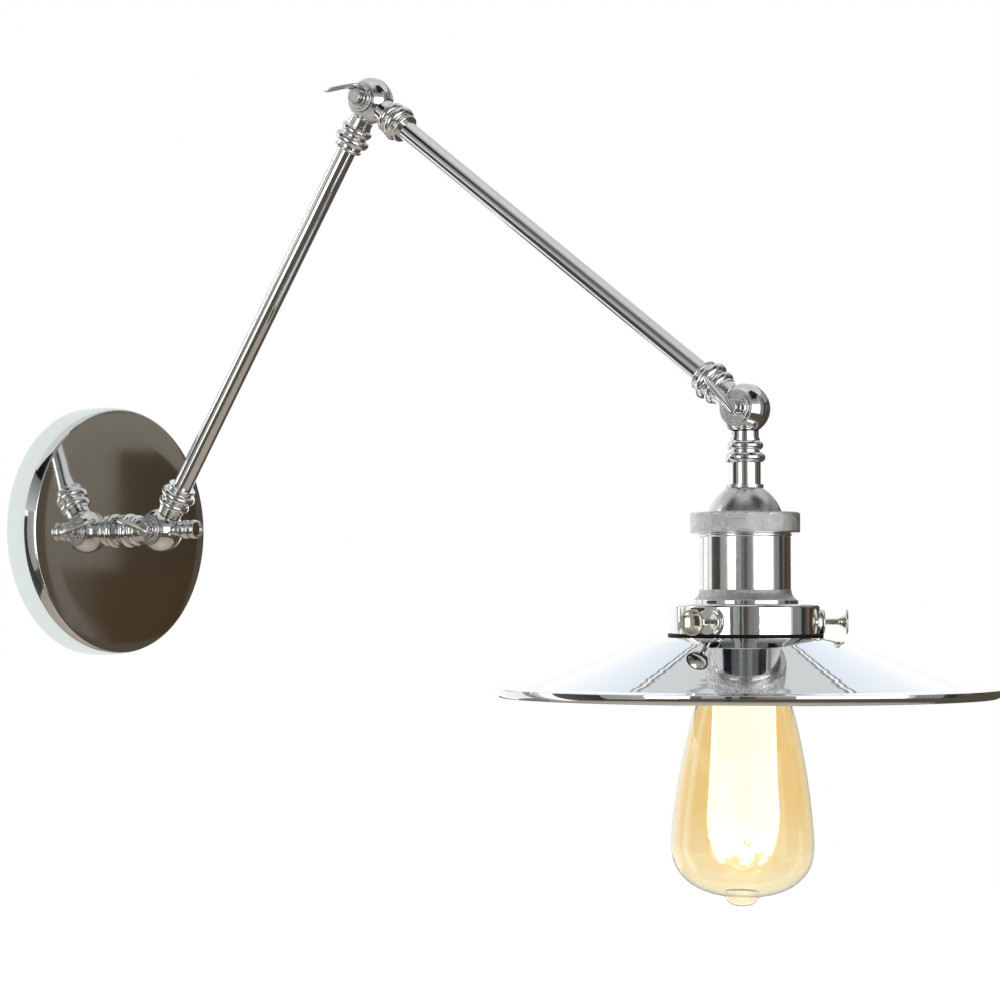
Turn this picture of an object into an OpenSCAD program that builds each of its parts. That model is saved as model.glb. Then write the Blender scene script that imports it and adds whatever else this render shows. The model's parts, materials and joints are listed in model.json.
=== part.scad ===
// Swing arm wall sconce: wall plate, two tube arms on ball swivels, and a lampholder with a shallow shade.
// The wall is the plane y = 0, the lamp reaches out along -Y, and +Z is up.
// The origin is on the wall, at the centre of the wall plate.

/* [Wall plate] */
// Diameter of the wall plate
plate_d = 132; // [124:1:150]
// Distance from the wall to the plate's flat face
plate_depth = 19.3; // [19.3:0.1:22]
// Height of the plain side wall, below the rounded edge
plate_side = 10; // [8:0.5:12]
// Sheet thickness of the plate
plate_wall = 1.2; // [0.8:0.1:1.6]
// Distance between the two wall screws
wall_screw_gap = 70; // [64:1:80]

/* [Arms] */
// Distance from the wall to the base hinge
base_reach = 46; // [46:0.5:50]
// Lower arm, from hinge to hinge
lower_len = 252; // [180:1:320]
// Upper arm, from hinge to hinge
upper_len = 264; // [180:1:320]
// Lean of the lower arm from upright, towards the room
lower_lean = 33.2; // [5:0.1:34]
// Angle of the upper arm below level
upper_droop = 38; // [10:0.1:50]
// Outside radius of the arm tubes
tube_r = 5; // [4.6:0.1:5]
// Wall thickness of the arm tubes
tube_wall = 1; // [0.8:0.1:1.4]

/* [Ball swivels] */
// Radius of the swivel balls
ball_r = 11.5; // [11.2:0.1:12]
// Radius of the necks that leave the balls
neck_r = 6.3; // [5.8:0.1:6.5]
// Radius of the clamp screws
screw_r = 2.5; // [2:0.1:2.6]
// Reach of the clamp levers from their screw
lever_reach = 19; // [16:0.5:19]
// Thickness of the lever blades
blade_t = 2.2; // [1.8:0.1:3]

/* [Lampholder] */
// Radius of the knurled ring
knurl_r = 24.2; // [23:0.1:26]
// Ribs round the knurled ring
knurl_ribs = 84; // [48:4:96]
// Radius of the lampholder's sleeve
sleeve_r = 20.2; // [19.6:0.1:20.6]
// Radius of the gallery that carries the shade
gallery_r = 32.8; // [32.4:0.1:33]

/* [Shade] */
// Diameter of the shade's rim
shade_d = 223; // [190:1:260]
// Fall of the shade from its shoulder to the foot of its rim
shade_drop = 26.4; // [18:0.2:40]
// Thickness of the shade's sheet
shade_t = 0.9; // [0.8:0.1:1.2]

/* [Bulb] */
// Diameter of the bulb's glass
bulb_d = 63.2; // [58:0.2:64]
// Length of the bulb, from its contact to its tip
bulb_len = 140; // [134:1:144]
// Hairpins of the filament
filament_loops = 5; // [3:1:8]

/* [Hidden] */
$fn = 64;

// Clearances: between turning faces, between a shaft and its bore, and round a ball
face_gap = 0.3;
fit_gap = 0.05;
swivel_gap = 0.4;
over = 1; // how far a cut reaches past the face that it opens

// Swivel joint, measured from the centre of the ball
seam = 0.35;
near_flat = 8.2;
far_flat = 9.4;
neck_end = 13;
pocket_r = 8;
pocket_depth = 4;
screw_boss_r = 4.2;
wire_bore_r = 2.6;
washer_t = 0.62;
washer_rim = 0.6;

// Clamp screw: [radius, height] of the head's rim, its dome and the socket, and the end on the lever's side
screw_rim = [4.6, 1.2];
screw_dome = [3.4, 1];
screw_socket = [1.7, 1.4];
screw_end = 14.6;

// Clamp lever: [radius, height] of the hub's steps, and the blade
hub_gap = 0.25;
hub_steps = [[7, 1.1], [5.7, 2], [3.7, 6.2]];
hub_recess_r = 3;
blade_at = 10.4;
blade_end_r = 3.6;
blade_tail = 2.6;
elbow_blade_offset = -5;

// Collar rings, as [distance from the ball's centre, outside radius, radius of the bead]
ring_1 = [16.3, 8.3, 2.2];
ring_2 = [21.6, 9.2, 2.4];
lip_ring = [26.2, 7.4, 0.9];
sleeve_thick = 1.7;
arm_collar_end = 27;
head_collar_end = 24;

// Twin wire in the arms
strand_r = 1.2;
strand_at = 1.15;

// Wall plate
plate_edge_drop = 1.5;
bush_r = 7;
bush_flange_r = 8.6;
bush_flange_t = 1.3;
bush_counterbore = [6.2, 8];
bush_nut_size = [9.8, 4.5];
bracket_t = 2;
bracket_size = [100, 18];
slot_r = 2.25;
slot_len = 16;

// Terminal block and earth screw, from the centre of the bracket
terminal_at = 12.5;
terminal_size = [12, 16, 9];
terminal_slit = 1.2;
terminal_screw_r = 1.6;
terminal_wire_r = 1.4;
pole_at = 4;
earth_at = -20;
earth_r = 2;
earth_rings = [[4.4, 0.8], [3.5, 3]];

// Post of the base swivel
base_collar_end = base_reach - plate_depth - bush_flange_t - face_gap;
post_end = base_reach - 4;
clip_r = 6;
clip_t = 1.5;
clip_at = base_reach - 7.7;

// Locking knob, measured from the ball's centre
knob_boss_r = 3.2;
knob_boss_end = 14.5;
knob_stud = [2, 12.6];
knob_start = 14.7;
knob_end = 30.7;
knob_r = 4.3;
knob_bead_r = 2.5;
knob_beads = [17.1, 22.6, 28.1];
knob_dish = [3.6, 0.8];

// Joint places in the plane x = 0, as [distance from the wall, height]
base_at = [base_reach, 0];
elbow_at = base_at + lower_len * [sin(lower_lean), cos(lower_lean)];
upper_lean = 90 + upper_droop;
lamp_at = elbow_at + upper_len * [sin(upper_lean), cos(upper_lean)];

// Leans of the three clamp levers
base_lever_lean = -72;
elbow_lever_lean = -90;
lamp_lever_lean = -40;

// Lampholder, measured down from the lamp hinge
cap_top = 33.6;
ring_top = 46;
ring_base = 55;
sleeve_top = 47.2;
sleeve_base = 80;
gallery_top = 86.4;
gallery_base = 99.8;
shade_top = 100.8;
stem_r = 7.1;
stem_thread_r = 4;
cap_nut_size = [6.4, 2.6];
cap_lip = [8.3, 1.5];
cap_wall = 1;
dome_at = [-3.2, 52.2];
dome_r = 20.5;
seat_r = 8;
ring_bore_r = 15;
rib_depth = 0.45;
rib_margin = 0.8;
bead_r = 1;
sleeve_wall = 1;
skirt_spread = 2.8;
skirt_r = 9;

// Porcelain core, its contacts and its screw shell
core_top = 58;
core_step = 70;
core_r = 17.4;
core_base = 102;
contact_floor = 75;
contact_well_r = 6.5;
shell_top = 80;
shell_r = 14.2;
shell_t = 0.7;
holder_screw_at = 10;
holder_screw_r = 1.5;
holder_screw_head = [3, 3];

// Gallery, its nut and its thumb screws
gallery_shoulder = 4;
gallery_wall = 1.2;
gallery_nut_size = [22.4, 4];
screw_z = 94.1;
thumb_angles = [180, 60, -60];
thumb_boss = [5.4, 1.9];
thumb_r = 1.4;
thumb_head_at = 43;
thumb_head_r = 5.6;
thumb_rim_t = 1;
thumb_flare_r = 4.2;
thumb_dish_r = 12;
thumb_dish_depth = 1;

// Shade
shade_neck_r = 30.4;
shade_shoulder_r = 34.4;
shade_neck_top = 89.8;
shade_r = shade_d / 2;
rim_r = 2.1;
brim_w = 15.5;

// Bulb, measured down from the lamp hinge
bulb_top = 78.8;
bulb_tip = bulb_top + bulb_len;
contact_t = 1.4;
contact_r = [3.2, 4.8];
insulator_t = 3.4;
insulator_r = [5, 11.4];
cap_start = bulb_top + contact_t + insulator_t;
cap_r = 12.3;
cap_sheet = 0.7;
cap_thread_r = 13.2;
cap_thread_bead = 1.4;
cap_threads = 5;
cap_pitch = 3.6;
cap_skirt_r = 13.8;
cap_skirt_bore = 13.25;
glass_top = 104;
glass_neck_r = 12.9;
glass_t = 0.9;
pip_height = 4.2;
pip_r = 6.8;
glass_round = 23.8;
glass_widest = bulb_tip - pip_height - glass_round;
glass_fullness = 2.4;

// Foot, wires and filament inside the bulb
flare_t = 1.6;
flare_cone = [10.5, 4, 14];
stem_rod_r = 2.2;
arbor_r = 1.3;
button_r = 3;
button_ring = [3.8, 1.2];
support_r = 0.3;
filament_r = 0.4;
hook_r = 1.2;
high_hub = glass_top + 39;
low_hub = glass_top + 79;
high_hook = [8.5, glass_top + 32];
low_hook = [15, glass_top + 86];

// ---- Helpers ----

// Leans the local +Z from upright towards the room by an angle
module lean(a) rotate([a, 0, 0]) children();

// Puts a piece on a joint at [distance from the wall, height], with its local +Z leaning by an angle
module at(joint, a) translate([0, -joint[0], joint[1]]) lean(a) children();

// Puts a piece on the wall, with its local +Z straight out of the wall and its local +Y up
module on_wall() lean(90) children();

// Puts a piece under the lamp hinge, with its local +Z straight down
module on_lamp() at(lamp_at, 180) children();

// Turns a piece so that its local +Z points along +X or -X
module along_x(side) rotate([0, 90 * side, 0]) children();

// A washer, ring or short tube from height a to height b
module ring(r_out, r_in, a, b) {
    translate([0, 0, a])
    difference() {
        cylinder(r = r_out, h = b - a);
        translate([0, 0, -over]) cylinder(r = r_in, h = b - a + 2 * over);
    }
}

// A hexagon nut with a plain bore
module hex_nut(size, bore_r) {
    difference() {
        cylinder(r = size[0], h = size[1], $fn = 6);
        translate([0, 0, -over]) cylinder(r = bore_r, h = size[1] + 2 * over);
    }
}

// A straight round rod between two points
module rod(p, q, r) {
    d = q - p;
    translate(p)
    rotate([0, acos(d[2] / norm(d)), atan2(d[1], d[0])])
    cylinder(r = r, h = norm(d));
}

// Half-plane of a profile below the axis, which is cut away before the profile is turned
module axis_cut(r = 0) translate([r - 50, -50]) square([50, 350]);

// ---- Swivel joint ----

// Slice of a ball round the X axis, between two distances from the seam plane on one side
module ball_slice(side, r, a, b) {
    along_x(side)
    rotate_extrude($fn = 96)
    intersection() {
        circle(r = r, $fn = 128);
        translate([0, a]) square([r + over, b - a]);
    }
}

// Half of a swivel ball with a neck along local +Z. The flat sits at the outer pole, and a
// pocket behind the seam lets the wires pass round the clamp screw.
module half_ball(side, flat, bore) {
    difference() {
        union() {
            ball_slice(side, ball_r, seam, flat);
            difference() {
                union() {
                    cylinder(r = neck_r, h = neck_end);
                    children();
                }
                ball_slice(-side, ball_r + swivel_gap, -seam, ball_r + over);
            }
        }
        along_x(side) translate([0, 0, -over]) cylinder(r = bore, h = ball_r + 2 * over);
        along_x(side) ring(pocket_r, screw_boss_r, 0, pocket_depth);
        translate([0, 0, pocket_r - wire_bore_r]) cylinder(r = wire_bore_r, h = neck_end);
    }
}

// Friction washer between the two halves, fixed to the near half
module joint_washer() {
    along_x(1) ring(ball_r - washer_rim, pocket_r + face_gap, -seam, washer_t - seam);
}

// Clamp screw: button head with a driver socket on the far side, plain end in the lever on the near side
module clamp_screw() {
    head_at = far_flat + face_gap;
    dome_at = head_at + screw_rim[1];
    socket_at = dome_at + screw_dome[1] - screw_socket[1];
    along_x(1)
    difference() {
        union() {
            translate([0, 0, -screw_end]) cylinder(r = screw_r, h = screw_end + head_at);
            translate([0, 0, head_at]) cylinder(r = screw_rim[0], h = screw_rim[1]);
            translate([0, 0, dome_at]) cylinder(r1 = screw_rim[0], r2 = screw_dome[0], h = screw_dome[1]);
        }
        translate([0, 0, socket_at]) cylinder(r = screw_socket[0], h = screw_socket[1] + over, $fn = 6);
    }
}

// Outline of a lever's blade: a bar with round ends, and a root that runs back into the hub
module blade_outline(hub_at) {
    middle = blade_at + blade_end_r;
    tip = lever_reach - blade_end_r;
    translate([-middle, -blade_tail]) circle(r = blade_end_r);
    translate([-middle, tip]) circle(r = blade_end_r);
    translate([-middle - blade_end_r, -blade_tail]) square([2 * blade_end_r, tip + blade_tail]);
    translate([-middle, -blade_end_r]) square([middle - hub_at - 0.5, 2 * blade_end_r]);
}

// Clamp lever: a turned hub with stepped rings, and a flat blade that stands on it beside the screw
module clamp_lever(blade_offset) {
    hub_at = near_flat + hub_gap;
    difference() {
        union() {
            for (step = hub_steps)
                along_x(-1) translate([0, 0, hub_at]) cylinder(r = step[0], h = step[1]);
            translate([0, blade_offset + blade_t / 2, 0])
            rotate([90, 0, 0])
            linear_extrude(height = blade_t) blade_outline(hub_at);
        }
        along_x(-1) cylinder(r = screw_r + fit_gap, h = screw_end + 2 * over);
        along_x(-1) translate([0, 0, screw_end + fit_gap]) cylinder(r = hub_recess_r, h = 6);
    }
}

// ---- Collar and tube ----

// Collar with two beads round a tube or post, from the end of the neck to the given height
module collar(last, with_lip) {
    beads = with_lip ? [ring_1, ring_2, lip_ring] : [ring_1, ring_2];
    rotate_extrude()
    difference() {
        union() {
            translate([0, neck_end]) square([tube_r + sleeve_thick, last - neck_end]);
            for (bead = beads) translate([bead[1] - bead[2], bead[0]]) circle(r = bead[2]);
        }
        axis_cut(tube_r);
        translate([0, last]) square([ball_r, ball_r]);
    }
}

// Arm tube between two balls
module arm_tube(length) ring(tube_r, tube_r - tube_wall, neck_end, length - neck_end);

// Twin wire inside an arm, between the balls at its ends
module arm_wire(length) {
    start = ball_r + face_gap;
    translate([0, 0, start])
    linear_extrude(height = length - 2 * start) {
        for (side = [-1, 1]) translate([side * strand_at, 0]) circle(r = strand_r);
        square([2 * strand_at, strand_r], center = true);
    }
}

// ---- Wall plate ----

// Outline of the plate, shrunk by a wall thickness
module plate_profile(inset) {
    r = plate_d / 2;
    run = plate_depth - plate_side;
    edge_r = (run * run + plate_edge_drop * plate_edge_drop) / (2 * plate_edge_drop);
    square([r - inset, plate_side]);
    square([r - edge_r, plate_depth - inset]);
    intersection() {
        translate([r - edge_r, plate_side]) circle(r = edge_r - inset, $fn = 256);
        square([r, plate_depth - inset]);
    }
}

module canopy() {
    color("gainsboro")
    on_wall()
    difference() {
        rotate_extrude($fn = 128)
        difference() {
            plate_profile(0);
            plate_profile(plate_wall);
        }
        cylinder(r = bush_r, h = plate_depth + over);
    }
}

// Slotted strap that the wall screws hold
module wall_bracket() {
    color("silver")
    on_wall()
    linear_extrude(height = bracket_t)
    difference() {
        square(bracket_size, center = true);
        circle(r = bush_r);
        translate([earth_at, 0]) circle(r = earth_r);
        for (side = [-1, 1]) translate([side * wall_screw_gap / 2, 0]) {
            square([slot_len - 2 * slot_r, 2 * slot_r], center = true);
            for (end = [-1, 1]) translate([end * (slot_len / 2 - slot_r), 0]) circle(r = slot_r);
        }
    }
}

module bracket_nut() {
    color("silver")
    on_wall() translate([0, 0, bracket_t]) hex_nut(bush_nut_size, bush_r);
}

module canopy_nut() {
    color("silver")
    on_wall() translate([0, 0, plate_depth - plate_wall - bush_nut_size[1]]) hex_nut(bush_nut_size, bush_r);
}

// Threaded bush: it ties the plate to the bracket, and the post turns in it
module swivel_bush() {
    end = plate_depth + bush_flange_t;
    color("gainsboro")
    on_wall()
    difference() {
        union() {
            cylinder(r = bush_r, h = plate_depth);
            translate([0, 0, plate_depth]) cylinder(r = bush_flange_r, h = bush_flange_t);
        }
        translate([0, 0, -over]) cylinder(r = tube_r + fit_gap, h = end + 2 * over);
        translate([0, 0, -over]) cylinder(r = bush_counterbore[0], h = bush_counterbore[1] + over);
    }
}

// Two-pole terminal block on the bracket
module terminal_block() {
    size = terminal_size;
    color("ivory")
    on_wall()
    translate([terminal_at, 0, bracket_t])
    difference() {
        translate([0, -size[1] / 2, 0]) cube(size);
        translate([size[0] / 3, -terminal_slit / 2, size[2] * 2 / 3]) cube([size[0], terminal_slit, size[2]]);
        for (side = [-1, 1]) translate([0, side * pole_at, 0]) {
            translate([size[0] / 2, 0, pole_at - 2]) cylinder(r = terminal_screw_r, h = size[2]);
            translate([-over, 0, pole_at / 2]) along_x(1) cylinder(r = terminal_wire_r, h = size[0] + 2 * over);
        }
    }
}

module earth_screw() {
    color("goldenrod")
    on_wall()
    translate([earth_at, 0, 0])
    difference() {
        union() {
            cylinder(r = earth_r, h = bracket_t + 1);
            for (step = earth_rings) translate([0, 0, bracket_t]) cylinder(r = step[0], h = step[1]);
        }
        translate([-5, -0.5, bracket_t + earth_rings[1][1] - 1]) cube([10, 1, 2]);
    }
}

// ---- Base swivel ----

module base_post() color("silver") at(base_at, -90) ring(tube_r, wire_bore_r, neck_end, post_end);
module retaining_ring() color("dimgray") at(base_at, -90) ring(clip_r, tube_r, clip_at, clip_at + clip_t);
module base_collar() color("gainsboro") at(base_at, -90) collar(base_collar_end, false);

// Near half of the base ball, with the post's neck to the wall and a small boss for the knob to the room
module base_knuckle() {
    color("gainsboro")
    at(base_at, -90)
    difference() {
        half_ball(-1, near_flat, screw_r)
            translate([0, 0, -knob_boss_end]) cylinder(r = knob_boss_r, h = knob_boss_end - pocket_r + 1.5);
        translate([0, 0, -knob_boss_end - over]) cylinder(r = knob_stud[0] + fit_gap, h = 2.2 + over);
    }
}

module base_washer() color("dimgray") at(base_at, 0) joint_washer();
module base_screw() color("silver") at(base_at, 0) clamp_screw();

// Turned locking knob in front of the base ball, with three beads and a dished end
module lock_knob() {
    color("silver")
    at(base_at, 90)
    rotate_extrude()
    difference() {
        union() {
            translate([0, knob_stud[1]]) square([knob_stud[0], knob_start + over - knob_stud[1]]);
            translate([0, knob_start]) square([knob_r, knob_end - knob_start]);
            for (z = knob_beads) translate([knob_bead_r, z]) circle(r = knob_bead_r);
            for (z = knob_beads) translate([0, z - knob_bead_r / 2]) square([2 * knob_bead_r, knob_bead_r]);
        }
        axis_cut();
        translate([0, knob_end - knob_dish[1]]) square([knob_dish[0], knob_dish[1] + over]);
    }
}

module base_lever() color("gainsboro") at(base_at, base_lever_lean) clamp_lever(0);

// ---- Lower arm ----

module lower_foot() color("gainsboro") at(base_at, lower_lean) half_ball(1, far_flat, screw_r + fit_gap);
module lower_foot_collar() color("gainsboro") at(base_at, lower_lean) collar(arm_collar_end, true);
module lower_tube() color("gainsboro") at(base_at, lower_lean) arm_tube(lower_len);
module lower_wire() color("dimgray") at(base_at, lower_lean) arm_wire(lower_len);
module lower_top_collar() color("gainsboro") at(elbow_at, lower_lean + 180) collar(arm_collar_end, true);
module elbow_knuckle() color("gainsboro") at(elbow_at, lower_lean + 180) half_ball(-1, near_flat, screw_r);
module elbow_washer() color("dimgray") at(elbow_at, 0) joint_washer();
module elbow_screw() color("silver") at(elbow_at, 0) clamp_screw();
module elbow_lever() color("gainsboro") at(elbow_at, elbow_lever_lean) clamp_lever(elbow_blade_offset);

// ---- Upper arm ----

module upper_foot() color("gainsboro") at(elbow_at, upper_lean) half_ball(1, far_flat, screw_r + fit_gap);
module upper_foot_collar() color("gainsboro") at(elbow_at, upper_lean) collar(arm_collar_end, true);
module upper_tube() color("gainsboro") at(elbow_at, upper_lean) arm_tube(upper_len);
module upper_wire() color("dimgray") at(elbow_at, upper_lean) arm_wire(upper_len);
module upper_end_collar() color("gainsboro") at(lamp_at, upper_lean + 180) collar(arm_collar_end, true);
module lamp_knuckle() color("gainsboro") at(lamp_at, upper_lean + 180) half_ball(-1, near_flat, screw_r);
module lamp_washer() color("dimgray") at(lamp_at, 0) joint_washer();
module lamp_screw() color("silver") at(lamp_at, 0) clamp_screw();
module lamp_lever() color("gainsboro") at(lamp_at, lamp_lever_lean) clamp_lever(0);

// ---- Lampholder ----

module head_swivel() color("gainsboro") on_lamp() half_ball(1, far_flat, screw_r + fit_gap);
module head_collar() color("gainsboro") on_lamp() collar(head_collar_end, false);

// Hollow stem: a spigot in the collar, a plain barrel, and a threaded end through the cap
module head_stem() {
    thread_end = cap_top + cap_lip[1] + cap_wall + cap_nut_size[1] + 1.5;
    color("gainsboro")
    on_lamp()
    rotate_extrude()
    difference() {
        union() {
            translate([0, neck_end]) square([tube_r, cap_top - neck_end]);
            translate([0, head_collar_end]) square([stem_r, cap_top - head_collar_end]);
            translate([0, cap_top - 1]) square([stem_thread_r, thread_end - cap_top + 1]);
        }
        axis_cut(wire_bore_r);
    }
}

module cap_nut() {
    color("silver")
    on_lamp() translate([0, 0, cap_top + cap_lip[1] + cap_wall]) hex_nut(cap_nut_size, stem_thread_r);
}

// Domed cap: a spun shell with a lip under the stem and a flat seat for its nut
module holder_cap() {
    color("gainsboro")
    on_lamp()
    rotate_extrude()
    difference() {
        union() {
            intersection() {
                translate(dome_at) circle(r = dome_r, $fn = 128);
                translate([0, cap_top + cap_lip[1]]) square([ring_bore_r + 2, ring_top - cap_top - cap_lip[1]]);
            }
            translate([0, cap_top]) square([cap_lip[0], cap_lip[1]]);
            translate([0, cap_top]) square([seat_r, cap_lip[1] + cap_wall]);
        }
        intersection() {
            translate(dome_at) circle(r = dome_r - cap_wall, $fn = 128);
            translate([0, cap_top + cap_lip[1] + cap_wall]) square([ring_bore_r + 2, ring_top - cap_top]);
        }
        axis_cut(stem_thread_r);
    }
}

// Union ring with straight ribs round its edge
module knurled_ring() {
    core = knurl_r - rib_depth - 0.2;
    function rim_point(i) =
        let (r = knurl_r - rib_depth * (i % 2), a = i * 180 / knurl_ribs)
        [r * cos(a), r * sin(a)];
    color("silver")
    on_lamp()
    difference() {
        union() {
            translate([0, 0, ring_top]) cylinder(r = core, h = ring_base - ring_top);
            translate([0, 0, ring_top + rib_margin])
            linear_extrude(height = ring_base - ring_top - 2 * rib_margin)
            polygon([for (i = [0 : 2 * knurl_ribs - 1]) rim_point(i)]);
        }
        translate([0, 0, ring_top - over]) cylinder(r = ring_bore_r, h = sleeve_top - ring_top + 2 * over);
        translate([0, 0, sleeve_top]) cylinder(r = sleeve_r, h = ring_base - sleeve_top + over);
    }
}

// Sleeve with a raised bead under the knurled ring
module holder_sleeve() {
    color("gainsboro")
    on_lamp()
    rotate_extrude($fn = 96)
    difference() {
        union() {
            translate([0, sleeve_top]) square([sleeve_r, sleeve_base - sleeve_top]);
            translate([sleeve_r - bead_r / 2, ring_base + bead_r]) circle(r = bead_r);
        }
        axis_cut(sleeve_r - sleeve_wall);
    }
}

// Flared skirt between the sleeve and the gallery
module holder_skirt() {
    color("silver")
    on_lamp()
    rotate_extrude($fn = 96)
    difference() {
        translate([0, sleeve_base]) square([sleeve_r + skirt_spread, gallery_top - sleeve_base]);
        translate([sleeve_r + skirt_r, sleeve_base]) circle(r = skirt_r, $fn = 128);
        axis_cut(core_r);
    }
}

// Porcelain core with the socket for the screw shell and a well for the centre contact
module holder_core() {
    color("white")
    on_lamp()
    difference() {
        union() {
            translate([0, 0, core_top]) cylinder(r = sleeve_r - sleeve_wall, h = sleeve_base - core_top);
            translate([0, 0, core_step]) cylinder(r = core_r, h = core_base - core_step);
        }
        translate([0, 0, shell_top]) cylinder(r = shell_r, h = core_base - shell_top + over);
        translate([0, 0, contact_floor]) cylinder(r = contact_well_r, h = shell_top - contact_floor + over);
        for (side = [-1, 1])
            translate([side * holder_screw_at, 0, core_top - over]) cylinder(r = holder_screw_r, h = 7 + over);
    }
}

// Two screws on top of the core, for the wires
module terminal_screws() {
    color("goldenrod")
    on_lamp()
    for (side = [-1, 1])
    translate([side * holder_screw_at, 0, core_top])
    difference() {
        union() {
            cylinder(r = holder_screw_r, h = 6);
            translate([0, 0, -holder_screw_head[1]]) cylinder(r = holder_screw_head[0], h = holder_screw_head[1]);
        }
        translate([-4, -0.4, -holder_screw_head[1] - 1]) cube([8, 0.8, 2]);
    }
}

// Centre contact: a rivet and a raised tongue that meets the bulb
module centre_contact() {
    tongue_at = contact_floor + 1;
    color("goldenrod")
    on_lamp() {
        translate([0, 0, contact_floor]) cylinder(r = contact_well_r - 1.5, h = 1);
        translate([0, 0, tongue_at]) cylinder(r1 = 4, r2 = 2.6, h = bulb_top - tongue_at);
    }
}

module screw_shell() {
    color("goldenrod")
    on_lamp() ring(shell_r, shell_r - shell_t, shell_top, core_base - 1);
}

// Wall of the gallery, shrunk by a thickness: a straight side with a rounded shoulder
module gallery_profile(inset) {
    side_top = gallery_top + gallery_shoulder;
    translate([0, side_top]) square([gallery_r - inset, shade_top - side_top + (inset > 0 ? over : 0)]);
    translate([0, gallery_top + inset]) square([gallery_r - gallery_shoulder, gallery_shoulder]);
    translate([gallery_r - gallery_shoulder, side_top]) circle(r = gallery_shoulder - inset);
}

// Gallery: a cup that hangs from the lampholder, with three bosses for the thumb screws and a
// flange that meets the shade's shoulder
module gallery() {
    color("gainsboro")
    on_lamp()
    difference() {
        union() {
            rotate_extrude($fn = 128)
            difference() {
                union() {
                    gallery_profile(0);
                    translate([0, gallery_base]) square([shade_shoulder_r, shade_top - gallery_base]);
                }
                gallery_profile(gallery_wall);
            }
            thumb_screw_places()
                translate([0, 0, gallery_r - gallery_wall / 2])
                cylinder(r = thumb_boss[0], h = thumb_boss[1] + gallery_wall / 2);
        }
        translate([0, 0, gallery_top - over]) cylinder(r = core_r + fit_gap, h = gallery_wall + 2 * over);
        translate([0, 0, gallery_top + gallery_shoulder])
            cylinder(r = gallery_r - gallery_wall, h = shade_top - gallery_top - gallery_shoulder + over);
        thumb_screw_places() cylinder(r = thumb_r + fit_gap, h = 2 * gallery_r);
    }
}

// The three thumb screw axes: local +Z runs out of the gallery
module thumb_screw_place(i)
    translate([0, 0, screw_z])
    rotate([0, 0, thumb_angles[i]])
    rotate([0, 90, 0])
    children();

module thumb_screw_places() for (i = [0 : 2]) thumb_screw_place(i) children();

module gallery_nut() {
    color("silver")
    on_lamp()
    translate([0, 0, gallery_top + gallery_wall])
    difference() {
        cylinder(r = gallery_nut_size[0], h = gallery_nut_size[1], $fn = 12);
        translate([0, 0, -over]) cylinder(r = core_r, h = gallery_nut_size[1] + 2 * over);
    }
}

// Thumb screw: a thin shank that flares out to a dished round head
module thumb_screw(i) {
    rim_at = thumb_head_at + thumb_flare_r;
    color("silver")
    on_lamp()
    thumb_screw_place(i)
    rotate_extrude()
    difference() {
        union() {
            translate([0, shade_neck_r + 0.1]) square([thumb_r, rim_at - shade_neck_r]);
            translate([0, thumb_head_at]) square([thumb_head_r, thumb_flare_r + thumb_rim_t]);
        }
        translate([thumb_r + thumb_flare_r, thumb_head_at]) circle(r = thumb_flare_r);
        translate([0, rim_at + thumb_rim_t + thumb_dish_r - thumb_dish_depth]) circle(r = thumb_dish_r, $fn = 96);
        axis_cut();
    }
}

module thumb_screw_left() thumb_screw(0);
module thumb_screw_front() thumb_screw(1);
module thumb_screw_back() thumb_screw(2);

// ---- Shade ----

// Spun shade: a neck inside the gallery, a flat shoulder, a shallow cone, a level brim and a rolled rim
module shade() {
    rim_at = [shade_r - rim_r, shade_top + shade_drop - rim_r];
    brim_at = [shade_r - brim_w, rim_at[1] - rim_r];
    neck_in = shade_neck_r - shade_t;
    color("gainsboro")
    on_lamp()
    rotate_extrude($fn = 180) {
        translate([neck_in, shade_neck_top]) square([shade_t, shade_top + shade_t - shade_neck_top]);
        translate([neck_in, shade_top]) square([shade_shoulder_r - neck_in, shade_t]);
        polygon([
            [shade_shoulder_r - 1, shade_top],
            [shade_shoulder_r, shade_top],
            brim_at,
            brim_at + [0, shade_t],
            [shade_shoulder_r - 1, shade_top + shade_t]
        ]);
        translate(brim_at) square([rim_at[0] - brim_at[0], shade_t]);
        translate(rim_at) circle(r = rim_r, $fn = 48);
    }
}

// ---- Bulb ----

// Radius of the glass at a share t of the way from its neck to its widest place
function glass_side(t) = glass_neck_r + (bulb_d / 2 - glass_neck_r) * (t + 2 * sin(90 * t)) / 3;

// Point of the glass's full, rounded end at an angle a from its widest place
function glass_end(a, inset) =
    let (power = 2 / glass_fullness)
    [(bulb_d / 2 - inset) * pow(cos(a), power), glass_widest + (glass_round - inset) * pow(sin(a), power)];

// Outline of the glass, shrunk by a wall thickness
function glass_outline(inset) = concat(
    [for (i = [0 : 12]) [glass_side(i / 12) - inset, glass_top + (glass_widest - glass_top) * i / 12]],
    [for (a = [9 : 9 : 81]) glass_end(a, inset)],
    [[0, glass_widest + glass_round - inset]]
);

// Reverses a list of points
function backwards(points) = [for (i = [len(points) - 1 : -1 : 0]) points[i]];

// Blown glass with a shallow pip where it was sealed
module bulb_glass() {
    pip_base = bulb_tip - pip_height;
    color([1, 0.7, 0.3, 0.5])
    on_lamp()
    rotate_extrude($fn = 96) {
        polygon(concat(glass_outline(0), backwards(glass_outline(glass_t))));
        polygon([[0, pip_base - glass_t], [pip_r, pip_base - glass_t], [pip_r / 2, bulb_tip - 1], [0, bulb_tip]]);
    }
}

module bulb_contact() {
    color("silver")
    on_lamp() translate([0, 0, bulb_top]) cylinder(r1 = contact_r[0], r2 = contact_r[1], h = contact_t);
}

module bulb_insulator() {
    color("black")
    on_lamp()
    translate([0, 0, bulb_top + contact_t])
    cylinder(r1 = insulator_r[0], r2 = insulator_r[1], h = insulator_t);
}

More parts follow.
